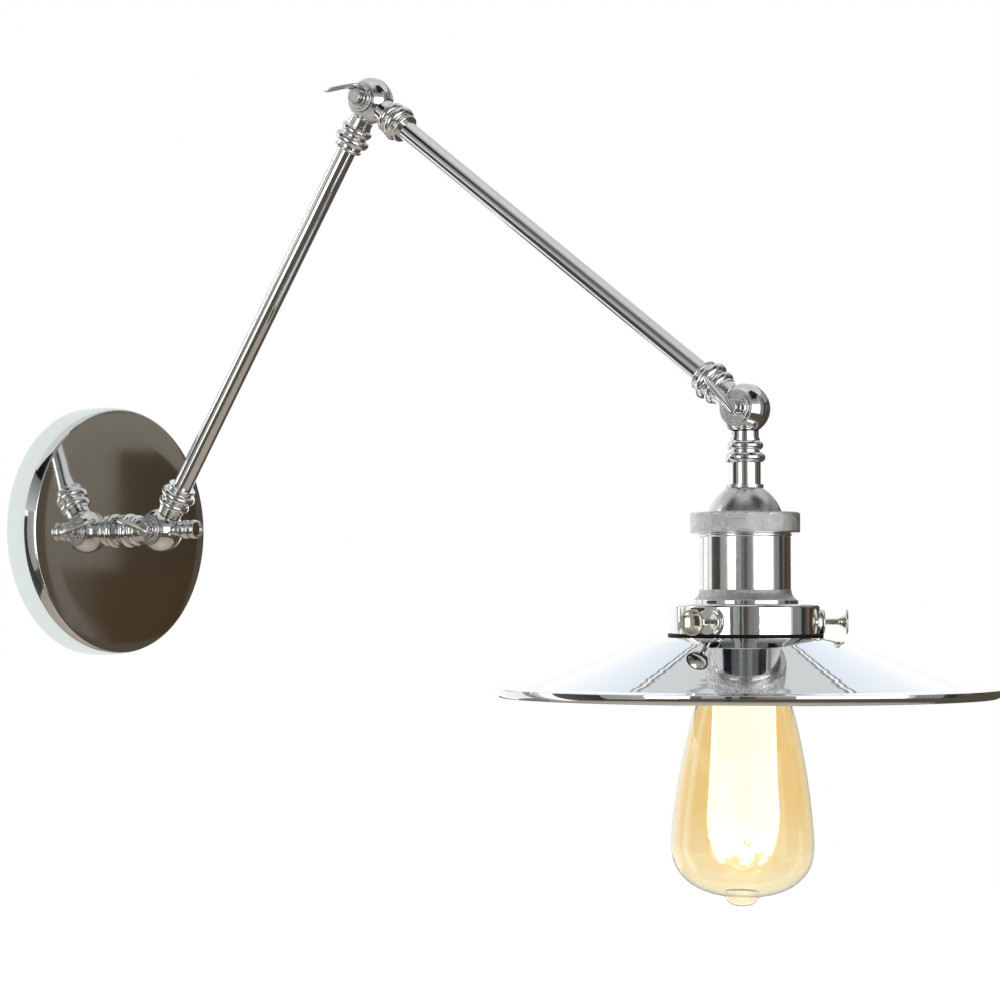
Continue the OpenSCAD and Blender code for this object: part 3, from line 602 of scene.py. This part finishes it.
def leverSurfaces(p, place, offset):
    # Hub: stepped rings round the screw. Blade: |cos a|^square by |sin a|^square, t from -1 at the tail to 1,
    # width (1 - |t|^taper)^0.5, thickness (1 - |t|^blunt)^0.5, its middle bent by droop (z / tip)^2
    (r1, h1), (r2, h2), (r3, h3) = p["steps"]
    x = p["hubAt"]
    sideways = seat(place[:3, 3], -place[:3, 0], place[:3, 2])
    hub = turned(
        [[p["bore"], x, 0.1], [r1, x, 0.25], [r1, x + h1, 0.4], [r2, x + h1, 0.2], [r2, x + h2, 0.4],
         [r3, x + h2, 0.4], [r3, x + h3, 0.5], [p["bore"], x + h3, 0.2]],
        sideways, columns=64,
    )
    t = -np.cos(np.linspace(0, np.pi, 40))
    z = p["tail"] + (p["tip"] - p["tail"]) * (t + 1) / 2
    full = np.sqrt(np.maximum(1 - np.abs(t) ** p["taper"], 0))
    a = roundAngles(48)
    soft = lambda v: np.sign(v) * np.abs(v) ** p["square"]
    thick = p["thick"] / 2 * np.maximum(1 - np.abs(t) ** p["blunt"], 0) ** 0.5
    bent = offset + p["droop"] * (z / p["tip"]) ** 2 * np.sign(z)
    rows = np.stack([
        p["bladeX"] + p["width"] / 2 * full[:, None] * soft(np.cos(a)),
        bent[:, None] + thick[:, None] * soft(np.sin(a)),
        z[:, None] + 0 * a,
    ], -1)
    return [hub, surface(rows, None, False, place)]


for name, (joint, lean, aside) in levers.items():
    makePiece(name + "Lever", leverSurfaces(lever, leaning(joint, lean), aside), name + "_clamp",
              "polishedChrome", [name + "_lever"])
print("clamp levers made")


knurl = {"radius": 24.2, "depth": 0.3, "teeth": 110, "top": 46, "base": 55, "bore": 15, "seat": 20.22,
         "seatAt": 47.2, "bevel": 0.55, "rows": 46, "perTooth": 6, "near": 0.2, "fade": 0.3, "sharp": 1.3}


def knurledSurface(p, place):
    # Diamonds: radius - depth (1 - sharp w), w the lower of two triangle waves 1 - |2 frac(u) - 1| that wind
    # round the ring in opposite ways
    edge = p["bevel"]
    profile, _ = roundedProfile([
        [p["bore"], p["top"], 0.2], [p["radius"] - edge, p["top"], 0.1], [p["radius"], p["top"] + edge, 0.1],
        [p["radius"], p["base"] - edge, 0.1], [p["radius"] - edge, p["base"], 0.1],
        [p["seat"], p["base"], 0.2], [p["seat"], p["seatAt"], 0.1], [p["bore"], p["seatAt"], 0.1],
    ], steps=4)
    outside = np.where(profile[:, 0] >= p["radius"] - p["near"])[0]
    flank = np.argmax(np.abs(np.diff(profile[outside, 1])))
    low, high = profile[outside[flank], 1], profile[outside[flank + 1], 1]
    extra = np.stack([np.full(p["rows"], p["radius"]), np.linspace(low, high, p["rows"] + 2)[1:-1]], 1)
    profile = np.insert(profile, outside[flank + 1], extra, axis=0)
    a = roundAngles(p["teeth"] * p["perTooth"])
    turnsPerMm = p["teeth"] / (2 * np.pi * p["radius"])
    wave = lambda u: 1 - np.abs(2 * (u - np.floor(u)) - 1)
    z = profile[:, 1:]
    u = p["teeth"] * a / (2 * np.pi) + z * turnsPerMm
    v = p["teeth"] * a / (2 * np.pi) - z * turnsPerMm
    rim = np.clip((profile[:, :1] - p["radius"] + p["fade"]) / p["fade"], 0, 1)
    r = profile[:, :1] - p["depth"] * rim * (1 - np.minimum(wave(u), wave(v)) * p["sharp"]).clip(0, 1)
    return surface(aroundAxis(r, z, a), None, True, place)


makePiece("knurledRing", [knurledSurface(knurl, onLamp)], "lamp_head", "ringNickel",
          ["knurled_ring"])
print("knurled ring made")


skirt = {"top": 80.0, "radius": 20.2, "bore": 17.45, "curve": 6.4, "step": 0.7, "lipR": 23.4, "lip": 1.9,
         "base": 86.4}


def skirtSurfaces(p):
    # Flare: radius + reach (1 - cos a) / (1 - cos last a), top + curve sin a, its reach ending a step inside
    # the lip. Lip: a plain polished band under it
    lipAt = p["base"] - p["lip"]
    a = np.linspace(0, np.arcsin((lipAt - p["top"]) / p["curve"]), 18)
    flare = np.stack([p["radius"] + p["curve"] * (1 - np.cos(a)), p["top"] + p["curve"] * np.sin(a)], 1)
    reach = p["lipR"] - p["step"] - p["radius"]
    flare[:, 0] = p["radius"] + (flare[:, 0] - p["radius"]) * reach / (flare[-1, 0] - p["radius"])
    flared = [[p["bore"], p["top"], 0.1]] + flare.tolist() + [[p["bore"], lipAt, 0.1]]
    upper = turned(flared, onLamp, columns=128)
    lower = turned(
        [[p["bore"], lipAt, 0.1], [p["lipR"], lipAt, 0.35], [p["lipR"], p["base"], 0.2],
         [p["bore"], p["base"], 0.1]],
        onLamp, columns=128,
    )
    return upper, lower


skirtFlare, skirtLip = skirtSurfaces(skirt)
makePiece("skirtFlare", [skirtFlare], "lamp_head", "satinNickel", ["holder_skirt"])
makePiece("skirtLip", [skirtLip], "lamp_head", "polishedChrome")
print("holder skirt made")


# Three of these figures place a black ring of painted shade at the cup's foot
gallery = {"radius": 32.8, "top": 86.4, "shoulder": 1.6, "wall": 1.2, "bore": 17.45, "base": 100.8,
           "seal": 34.2, "gapShadeClearance": 0.02, "gapShadeAt": 99.35, "screwAt": 94.1, "bossR": 5.4, "bossReach": 1.9,
           "bossRoot": 0.5, "screwBore": 1.45, "angles": (180, 60, -60)}


def radial(angle, height):
    # Frame at a height on the lamp's axis whose Z runs out along (cos a, sin a)
    a = np.radians(angle)
    way = onLamp[:3, :3] @ np.array([np.cos(a), np.sin(a), 0]) * perMetre
    return seat(onLamp[:3, 3] + onLamp[:3, 2] * height, way, (0, 0, 1))


def gallerySurfaces(p):
    # Cup with a rounded shoulder, and a round boss for each screw
    r, w, s = p["radius"], p["wall"], p["shoulder"]
    cup = turned(
        [[p["bore"], p["top"], 0.2], [r, p["top"], s], [r, p["base"], 0.1], [r - w, p["base"], 0.2],
         [r - w, p["top"] + w, 0.6], [p["bore"], p["top"] + w, 0.1]],
        onLamp, columns=160, steps=10,
    )
    root, end = r - p["bossRoot"], r + p["bossReach"]
    bore, side = p["screwBore"], p["bossR"]
    boss = [[bore, root, 0], [side, root, 0], [side, end, 0.5], [bore, end, 0.2]]
    return [cup] + [turned(boss, radial(angle, p["screwAt"]), columns=48) for angle in p["angles"]]


makePiece("galleryCup", gallerySurfaces(gallery), "lamp_head", "polishedChrome", ["gallery"])


def gapShadeCorners(p):
    # Flat black ring round the foot of the cup, painted shade for the shadowed gap between the cup and the
    # shade
    inner = p["radius"] + p["gapShadeClearance"]
    return [[inner, p["gapShadeAt"], 0.05], [p["seal"], p["gapShadeAt"], 0.25], [p["seal"], p["base"], 0.25],
            [inner, p["base"], 0.05]]


# Painted shade: a black ring where the gap under the gallery falls into shadow
gapShadeRing = turned(gapShadeCorners(gallery), onLamp, columns=160)
makePiece("galleryGapShade", [gapShadeRing], "lamp_head", "sealBlack")
print("gallery made")


screw = {"shank": 1.4, "start": 30.5, "headAt": 39.7, "flare": 4.2, "head": 5.6, "rim": 1, "dish": 1,
         "flat": 0.5, "height": 94.1, "angle": 60}


def screwCorners(p):
    # Shank, a flare shank + flare (1 - cos a), headAt + flare sin a, a round rim and a dished face
    # top - dish (1 - (r / head)^2)
    a = np.linspace(0, np.pi / 2, 14)
    flare = np.stack([p["shank"] + p["flare"] * (1 - np.cos(a)), p["headAt"] + p["flare"] * np.sin(a)], 1)
    top = p["headAt"] + p["flare"] + p["rim"]
    r = np.linspace(p["head"] - p["flat"], 0, 16)
    face = np.stack([r, top - p["dish"] * (1 - (r / p["head"]) ** 2)], 1)
    shank = [[0, p["start"]], [p["shank"], p["start"], 0.3]]
    return shank + flare.tolist() + [[p["head"], top, 0.4]] + face.tolist()


screwSurface = turned(screwCorners(screw), radial(screw["angle"], screw["height"]), False, 64)
makePiece("thumbScrewFront", [screwSurface], "front_screw", "warmNickel", ["thumb_screw_front"])
print("thumb screw made")


knob = {"start": 14.7, "stud": 2, "studAt": 12.6, "core": 4.1, "groove": 0.4, "bead": 2.6, "rim": 5.0,
        "round": 0.8, "beads": (17.3, 22.7), "end": 25.3, "dish": 3.7, "depth": 0.9}


def knobCorners(p):
    # Two beads on a stud, each with radius low + (rim - low) sin(a)^round where low = core - groove, and a
    # sunk end
    rows = [[0, p["studAt"]], [p["stud"], p["studAt"]], [p["stud"], p["start"]]]
    a = np.linspace(0, np.pi, 22)
    for at in p["beads"]:
        low = p["core"] - p["groove"]
        radius = low + (p["rim"] - low) * np.sin(a) ** p["round"]
        rows += np.stack([radius, at - p["bead"] * np.cos(a)], 1).tolist()
    floor = p["end"] - p["depth"]
    return rows + [[p["dish"], p["end"], 0.15], [p["dish"], floor, 0.3], [0, floor]]


onKnob = seat(basePlace, (0, -1, 0), (0, 0, 1))
knobSurface = turned(knobCorners(knob), onKnob, False, 96)
makePiece("lockKnob", [knobSurface], "knob", "polishedChrome", ["lock_knob"])
print("lock knob made")


shade = {"neckR": 30.4, "neckTop": 89.8, "top": 100.8, "rimR": 111.5, "drop": 26.4, "bead": 2.1, "brim": 15.5,
         "sheet": 0.9, "across": (-0.37, 0.93), "crest": 0.35, "bendR": 33, "bendFrom": 33.5, "slope": 21.7}


def shadeCorners(p):
    # Sheet: neck, shoulder bendFrom + bendR sin c, top + bendR (1 - cos c), a straight cone and a level brim.
    # Rim: a rolled bead, its outer side two quarter ellipses that meet at the widest place, a crest below the
    # brim. Under side: the same sheet moved by its thickness
    t, bead = p["sheet"], p["bead"]
    x, foot = p["rimR"] - bead, p["top"] + p["drop"]
    level = foot - 2 * bead
    b = np.linspace(0, np.pi / 2, 12)
    upper = np.stack([x + bead * np.sin(b), level + p["crest"] * (1 - np.cos(b))], 1)
    lower = np.stack([x + bead * np.cos(b), level + p["crest"] + (2 * bead - p["crest"]) * np.sin(b)], 1)[1:]
    c = np.linspace(0, np.arccos((t - bead) / bead), 16)[1:]
    inner = np.stack([x - bead * np.sin(c), foot - bead + bead * np.cos(c)], 1)
    c = np.radians(np.linspace(0, p["slope"], 40))
    bend = np.stack([p["bendFrom"] + p["bendR"] * np.sin(c), p["top"] + p["bendR"] * (1 - np.cos(c))], 1)
    u = np.linspace(0, 1, 60)[1:, None]
    cone = np.vstack([bend, bend[-1] + (np.array([p["rimR"] - p["brim"], level]) - bend[-1]) * u])
    under = cone[::-1] + t * np.array(p["across"])
    neck = [[p["neckR"] - t, p["neckTop"], 0.3], [p["neckR"], p["neckTop"], 0.3], [p["neckR"], p["top"], 0.6]]
    sheet = np.vstack([cone, upper, lower, inner, under]).tolist()
    return neck + sheet + [[p["neckR"] - t, p["top"] + t, 0.8]]


shadeSurface = turned(shadeCorners(shade), onShade, columns=256)
makePiece("spunShade", [shadeSurface], "lamp_head", "spunChrome", ["shade"])
print("shade made")


bulb = {"glassTop": 104, "neckR": 12.9, "wide": 31.6, "tip": 218.8, "pip": 4.2, "pipR": 7.3, "pipRound": 0.8,
        "round": 23.8, "fullness": 2.4, "wall": 0.8, "innerFrom": 0.3, "swell": 1.15, "capStart": 83.6,
        "capR": 12.3, "threadR": 13.2, "pitch": 3.6, "threadEnd": 1, "fade": (0.6, 2, 1.5), "sheet": 0.7,
        "collar": ((13.65, -0.8), (13.8, -0.6), (13.8, 0.85), (13.65, 1), (13.25, 1), (13.25, 0))}


def glassCorners(p):
    # Side: neck + (wide - neck)(t + 2 sin 90t)/3 + swell sin 180t (1 - t). End: superellipse round the widest
    # place, then a low hollow pip. The inner wall keeps one thickness
    widest = p["tip"] - p["pip"] - p["round"]
    t = np.linspace(0, 1, 60)
    side = np.stack([p["neckR"] + (p["wide"] - p["neckR"]) * (t + 2 * np.sin(t * np.pi / 2)) / 3
                     + p["swell"] * np.sin(np.pi * t) * (1 - t),
                     p["glassTop"] + (widest - p["glassTop"]) * t], 1)
    a = np.linspace(0, np.pi / 2, 90)[1:]
    power = 2 / p["fullness"]
    end = np.stack([p["wide"] * np.cos(a) ** power, widest + p["round"] * np.sin(a) ** power], 1)
    outer = np.vstack([side, end])
    outer = outer[outer[:, 0] > p["pipR"]]
    b = np.linspace(0, np.pi / 2, 16)[1:]
    base = outer[-1]
    pip = np.stack([base[0] * np.cos(b) ** p["pipRound"], base[1] + (p["tip"] - base[1]) * np.sin(b)], 1)
    outer = np.vstack([outer, pip])
    way = unit(np.gradient(outer, axis=0))
    inner = outer + np.stack([-way[:, 1], way[:, 0]], 1) * p["wall"]
    outer[-1, 0] = 0
    inner = np.vstack([inner[inner[:, 0] > p["innerFrom"]][:-1], [[0, p["tip"] - p["wall"]]]])
    return np.vstack([inner[::-1], outer])


def threadedCap(p, place):
    # Rolled thread: radius = capR + (threadR - capR) cos^2(180 (z / pitch - turns)), faded out at both ends,
    # then a round collar
    z = np.linspace(p["capStart"], p["glassTop"] - p["threadEnd"], 150)
    a = roundAngles(96)
    phase = z[:, None] / p["pitch"] - a / (2 * np.pi)
    start, end, run = p["fade"]
    fade = np.clip(np.minimum(z - p["capStart"] - start, p["glassTop"] - end - z) / run, 0, 1)[:, None]
    r = p["capR"] + (p["threadR"] - p["capR"]) * fade * np.cos(np.pi * phase) ** 2
    flat = lambda r, z: aroundAxis(np.array([[r]]), np.array([[z]]), a)
    inner = p["capR"] - p["sheet"]
    rows = [flat(inner, p["capStart"]), aroundAxis(r, z[:, None], a)]
    rows += [flat(radius, p["glassTop"] + rise) for radius, rise in p["collar"]]
    return surface(np.concatenate(rows + [flat(inner, p["glassTop"])]), None, True, place)


glassSurface = turned(glassCorners(bulb), onBulb, closed=False, columns=128)
glassPiece = makePiece("bulbGlass", [glassSurface], "bulb", "amberGlass", ["bulb_glass"])
glassPiece.visible_shadow = False
makePiece("bulbCap", [threadedCap(bulb, onLamp)], "bulb", "paleBrass", ["bulb_cap"])

cage = {"loops": 5, "highHub": 143, "lowHub": 183, "highHook": (8.5, 136), "lowHook": (15, 190), "wire": 0.42,
        "slack": 0.5, "support": 0.28, "root": 2.6, "bow": 0.6,
        "stem": [[0, 104], [12, 104, 0.4], [12, 105.6, 0.8], [10.2, 106, 0.8], [4, 119.6, 3], [2.2, 122, 2],
                 [2.2, 139.5, 1], [3.1, 141.4, 1], [3.1, 144.6, 1], [1.3, 146.5, 1], [1.3, 180, 1],
                 [3, 181.6, 1], [3, 184.6, 1], [0, 186]]}


def hookPoints(p):
    # Hooks (r cos a, r sin a, z), alternately high and low round the lamp's axis
    i = np.arange(2 * p["loops"])
    a = i * np.pi / p["loops"]
    low = i % 2 == 1
    r = np.where(low, p["lowHook"][0], p["highHook"][0])
    z = np.where(low, p["lowHook"][1], p["highHook"][1])
    return aroundAxis(r, z, a), low, a


def filamentPath(p):
    # Legs from hook to hook, each bowed aside by slack sin(180 t); then every inner point takes a quarter,
    # half, quarter mean with its neighbours
    hooks = hookPoints(p)[0]
    rows = []
    for start, end in zip(hooks[:-1], hooks[1:]):
        t = np.linspace(0, 1, 25)[:, None]
        aside = unit(np.array([start[1] - end[1], end[0] - start[0], 0]))
        rows.append(start + (end - start) * t + p["slack"] * np.sin(np.pi * t) * aside)
    path = np.vstack(rows)
    smooth = path.copy()
    smooth[1:-1] = (path[:-2] + 2 * path[1:-1] + path[2:]) / 4
    return smooth


def supportPaths(p):
    # Each support leaves its glass button level: (1 - t)^2 root + 2 t (1 - t) mid + t^2 hook
    hooks, low, a = hookPoints(p)
    paths = []
    for hook, isLow, angle in zip(hooks, low, a):
        hub = p["lowHub"] if isLow else p["highHub"]
        root = np.array([p["root"] * np.cos(angle), p["root"] * np.sin(angle), hub])
        mid = np.array([hook[0] * p["bow"], hook[1] * p["bow"], hub])
        t = np.linspace(0, 1, 14)[:, None]
        paths.append((1 - t) ** 2 * root + 2 * t * (1 - t) * mid + t ** 2 * hook)
    return paths


stemSurface = turned(cage["stem"], onBulb, closed=False, columns=48)
supports = [tube(path, cage["support"], onBulb, 8) for path in supportPaths(cage)]
makePiece("bulbStem", [stemSurface], "bulb", "stemGlass", ["bulb_stem"])
makePiece("supportWires", supports, "bulb", "supportWire", ["lead_wires"])
makePiece("hotWire", [tube(filamentPath(cage), cage["wire"], onBulb, 8)], "bulb", "hotFilament",
          ["filament"])

halo = {"top": 112, "base": 206, "radius": 13.8, "spread": 3.6, "ragged": 3, "close": (0.7, 1.7),
        "open": 0.04, "rag": 0.8, "lobe": (0.07, 0.03), "tear": (0.6, 0.4)}


def haloSurface(p):
    # Soft bloom round the cage: radius = (radius + spread t^2) lobes, t from 0 to 1, closed at both ends, and
    # a lower end that rises and falls round the axis
    t = np.linspace(0, 1, 60)[:, None]
    a = roundAngles(90)
    start, power = p["close"]
    close = np.sqrt(np.clip(1 - np.clip((t - start) / (1 - start), 0, 1) ** power, 0, 1))
    close = close * np.clip(t / p["open"], 0, 1) ** 0.5
    lobes = 1 + p["lobe"][0] * t ** 2 * np.cos(5 * a) + p["lobe"][1] * t * np.cos(3 * a + 1)
    r = p["radius"] * (1 + p["spread"] / p["radius"] * t ** 2) * close * lobes
    tear = np.cos(5 * a) * p["tear"][0] + np.cos(8 * a + 2) * p["tear"][1]
    ragged = p["ragged"] * np.clip((t - p["rag"]) / (1 - p["rag"]), 0, 1) * tear * (r / p["radius"])
    z = p["top"] + (p["base"] - p["top"]) * t + ragged
    points = aroundAxis(r, z, a)
    points[0], points[-1] = points[0].mean(axis=0), points[-1].mean(axis=0)
    return surface(points, None, False, onBulb)


haloPiece = makePiece("filamentHalo", [haloSurface(halo)], "bulb", "filamentHalo")
haloPiece.visible_shadow = False
print("bulb made")


centre = np.array([0, -0.25, 0.05])
tone = {"power": 2.2, "white": 0.89}


def emissionMaterial(name, colours, side):
    # Plain glow whose colour runs across or up the card's own map
    material = bpy.data.materials.new(name)
    material.use_nodes = True
    tree = material.node_tree
    tree.nodes.clear()
    across = tree.nodes.new("ShaderNodeUVMap").outputs[0]
    parts = wire(tree, "ShaderNodeSeparateXYZ", Vector=across)
    colour = blendColours(tree, parts.outputs[side], *colours)
    glow = wire(tree, "ShaderNodeEmission", Color=colour, Strength=1.0)
    wire(tree, "ShaderNodeOutputMaterial", Surface=glow.outputs[0])
    return material


def addCard(name, points, u, v, first, second, side):
    # Grid seen only in reflections, each colour (c / 255)^power / white
    rows, columns = u.shape
    index = np.arange(rows * columns).reshape(rows, columns)
    faces = np.stack([index[:-1, :-1], index[1:, :-1], index[1:, 1:], index[:-1, 1:]], -1).reshape(-1, 4)
    mesh = bpy.data.meshes.new(name)
    mesh.from_pydata(points.reshape(-1, 3).tolist(), [], faces.tolist())
    layer = mesh.uv_layers.new(name="across")
    corners = np.empty(len(mesh.loops), int)
    mesh.loops.foreach_get("vertex_index", corners)
    layer.data.foreach_set("uv", np.stack([u.ravel(), v.ravel()], 1)[corners].ravel())
    toLinear = lambda c: tuple((np.array(c) / 255) ** tone["power"] / tone["white"])
    mesh.materials.append(emissionMaterial(name, (toLinear(first), toLinear(second)), side))
    card = addObject(name, mesh)
    card.visible_camera = card.visible_diffuse = card.visible_shadow = False
    card.visible_transmission = card.visible_volume_scatter = False


def roomCard(name, azimuth, elevation, first, second, distance, side="X"):
    # Patch of a sphere round the centre, between two azimuths and two elevations
    u, v = np.meshgrid(np.linspace(0, 1, 25), np.linspace(0, 1, 13), indexing="ij")
    az = azimuth[0] + (azimuth[1] - azimuth[0]) * u
    el = elevation[0] + (elevation[1] - elevation[0]) * v
    points = centre + distance * outward(az, el)
    addCard(name, points, u, v, first, second, side)


# name: azimuths, elevations, the two colours, distance, and Y where the colours run up and not across
cards = {
    "roomCorner": ((84, 142), (-42, 16), (80, 75, 67), (78, 71, 62), 2.05),
    "roomLine": ((142, 150), (-42, 30), (44, 44, 43), (62, 62, 64), 2.04),
    "roomGap": ((149, 168), (-42, 42), (126, 127, 130), (121, 122, 126), 2.07),
    "gapEdge": ((166, 170), (-42, 42), (160, 161, 164), (215, 215, 218), 2.06),
    "roomHigh": ((84, 152), (15, 42), (170, 170, 168), (120, 120, 118), 2.08),
    "softboxWide": ((170, 218), (-16, 14), (330, 330, 330), (330, 330, 330), 2.0),
    "standPale": ((218, 234), (-42, 42), (138, 138, 135), (112, 111, 107), 2.05),
    "standDark": ((234, 241), (-42, 38), (84, 84, 80), (66, 66, 63), 2.04),
    "standGap": ((241, 244.2), (-42, 42), (122, 124, 122), (122, 124, 122), 2.05),
    "standLine": ((244, 246.6), (-42, 38), (58, 60, 59), (58, 60, 59), 2.03),
    "standGrey": ((246.5, 257), (-42, 42), (132, 136, 135), (152, 157, 157), 2.05),
    "standEdge": ((256.5, 261.5), (-42, 40), (92, 96, 97), (104, 108, 108), 2.04),
    "softboxNarrow": ((261.5, 282), (-20, 14), (330, 330, 330), (330, 330, 330), 2.0),
    "sideGrey": ((282, 304), (-30, 12), (158, 159, 155), (142, 142, 137), 2.0),
    "sideDark": ((304, 333), (-44, 8), (52, 54, 51), (84, 86, 82), 2.0),
    "sidePale": ((344, 350), (-44, 8), (196, 197, 196), (172, 173, 172), 2.0),
    "sideLine": ((351, 358), (-44, 30), (126, 128, 127), (150, 152, 153), 2.0),
    "farFade": ((358, 398), (-30, 20), (226, 230, 233), (250, 252, 253), 2.02),
    "farLow": ((350, 450), (-44, -15), (122, 122, 120), (96, 93, 88), 2.06),
    "nearLow": ((84, 267), (-44, -19), (78, 72, 64), (84, 80, 75), 2.03),
    "sideLow": ((267, 305), (-44, -24), (74, 71, 68), (74, 71, 68), 2.03),
    "ground": ((0, 360), (-90, -44), (178, 172, 165), (150, 141, 130), 2.1, "Y"),
    "wallHigh": ((150, 330), (12, 40), (178, 179, 180), (84, 85, 87), 2.1, "Y"),
    "ceilingNear": ((196, 286), (39.5, 58), (78, 80, 86), (120, 123, 127), 2.1, "Y"),
    "ceilingLeft": ((284, 330), (36, 70), (22, 22, 24), (46, 47, 49), 2.09, "Y"),
    "ceilingRight": ((150, 198), (36, 70), (28, 28, 30), (52, 54, 57), 2.09, "Y"),
    "ceilingHigh": ((196, 288), (58, 74), (176, 178, 180), (120, 122, 124), 2.1, "Y"),
    "farWall": ((38, 84), (10, 36.3), (255, 255, 255), (219, 229, 240), 2.06, "Y"),
    "farEdge": ((38, 84), (36.2, 37.8), (128, 133, 136), (128, 133, 136), 2.05),
    "farGleam": ((38, 84), (36.7, 37.2), (250, 252, 253), (250, 252, 253), 2.04),
    "ceilingFar": ((-40, 150), (37.7, 64), (203, 206, 207), (192, 194, 195), 2.06, "Y"),
    "ceilingSeam": ((38, 74), (43.3, 43.9), (152, 156, 158), (152, 156, 158), 2.04),
    "ceilingTop": ((0, 360), (63, 90), (188, 190, 190), (210, 211, 211), 2.1, "Y"),
    "streakLeft": ((334.5, 336.5), (12, 28), (800, 800, 780), (800, 800, 780), 1.99),
    "plateGrey": ((121, 136), (-8, 10), (97, 90, 82), (112, 109, 100), 2.03, "Y"),
    "plateFrame": ((121, 128.85), (-1.4, 3.66), (60, 50, 40), (66, 57, 46), 2.02),
    "plateLow": ((121, 129.4), (-8, -1.35), (66, 53, 40), (70, 57, 45), 2.02),
    "plateSide": ((129.4, 131.8), (-8, -1.35), (70, 57, 45), (93, 87, 78), 2.02),
}
for name, values in cards.items():
    roomCard(name, *values)

board = {"inner": 0.055, "outer": 0.084, "behind": 0.001, "colours": ((222, 230, 228), (214, 222, 220))}


def addBoard(p):
    # Pale flat ring just behind the wall plate, which its side wall mirrors
    u, v = np.meshgrid(np.linspace(0, 1, 97), np.linspace(0, 1, 3), indexing="ij")
    r = p["inner"] + (p["outer"] - p["inner"]) * v
    a = 2 * np.pi * u
    points = np.stack([r * np.cos(a), p["behind"] + 0 * a, r * np.sin(a)], -1)
    addCard("paleBoard", points, u, v, *p["colours"], "Y")


addBoard(board)


def seenStraight(tree):
    # 1 for what the camera sees, straight on, in metal or through glass, otherwise 0
    rays = tree.nodes.new("ShaderNodeLightPath").outputs
    seen = maths(tree, "MAXIMUM", rays["Is Camera Ray"], rays["Is Glossy Ray"])
    return maths(tree, "MAXIMUM", seen, rays["Is Transmission Ray"])


flooring = {"size": 16, "height": -2.3, "clouds": 2, "pale": (0.93, 0.93, 0.93), "paler": (0.95, 0.95, 0.95),
            "rough": 0.9, "glow": 0.45}


def addFloor(p):
    # Pale square floor that keeps the object's shadow and adds a steady white for what is seen straight on
    mesh = bpy.data.meshes.new("studioFloor")
    corners = [(x * p["size"], y * p["size"], p["height"]) for x, y in ((-1, -1), (1, -1), (1, 1), (-1, 1))]
    mesh.from_pydata(corners, [], [(0, 1, 2, 3)])
    material, tree, shader, place = startMaterial("studioFloor")
    cloud = noise(tree, place, p["clouds"], detail=2)
    feed(tree, shader, Base_Color=blendColours(tree, cloud, p["pale"], p["paler"]), Roughness=p["rough"])
    strength = maths(tree, "MULTIPLY", seenStraight(tree), p["glow"])
    feed(tree, shader, Emission_Color=(1, 1, 1, 1), Emission_Strength=strength)
    mesh.materials.append(material)
    floor = addObject("studioFloor", mesh)


worldLevels = {"rest": 0.65, "seen": 1}


def addWorld(p):
    # White world at one level for what is seen straight on and a lower one for the rest
    world = bpy.data.worlds.new("studioWorld")
    scene.world = world
    world.use_nodes = True
    tree = world.node_tree
    level = mapRange(tree, seenStraight(tree), (0, 1), p["rest"], p["seen"])
    feed(tree, tree.nodes["Background"], Color=(1, 1, 1, 1), Strength=level)


# name: azimuth, elevation, side in metres, power
lamps = {"keyLamp": (198, 40, 1.2, 26), "fillLamp": (279, 30, 1.0, 12)}
lampDistance = 2.4


def addLamp(name, azimuth, elevation, size, power):
    # Square lamp at centre + distance outward, turned towards the centre
    data = bpy.data.lights.new(name, "AREA")
    data.shape, data.size, data.energy = "SQUARE", size, power
    lamp = addObject(name, data)
    lamp.location = centre + lampDistance * outward(azimuth, elevation)
    lamp.rotation_euler = Vector(-outward(azimuth, elevation)).to_track_quat("-Z", "Y").to_euler()
    lamp.visible_glossy = lamp.visible_camera = False


addFloor(flooring)
addWorld(worldLevels)
for name, values in lamps.items():
    addLamp(name, *values)
scene.view_settings.view_transform = "Standard"
print("studio ready")

bpy.context.view_layer.update()
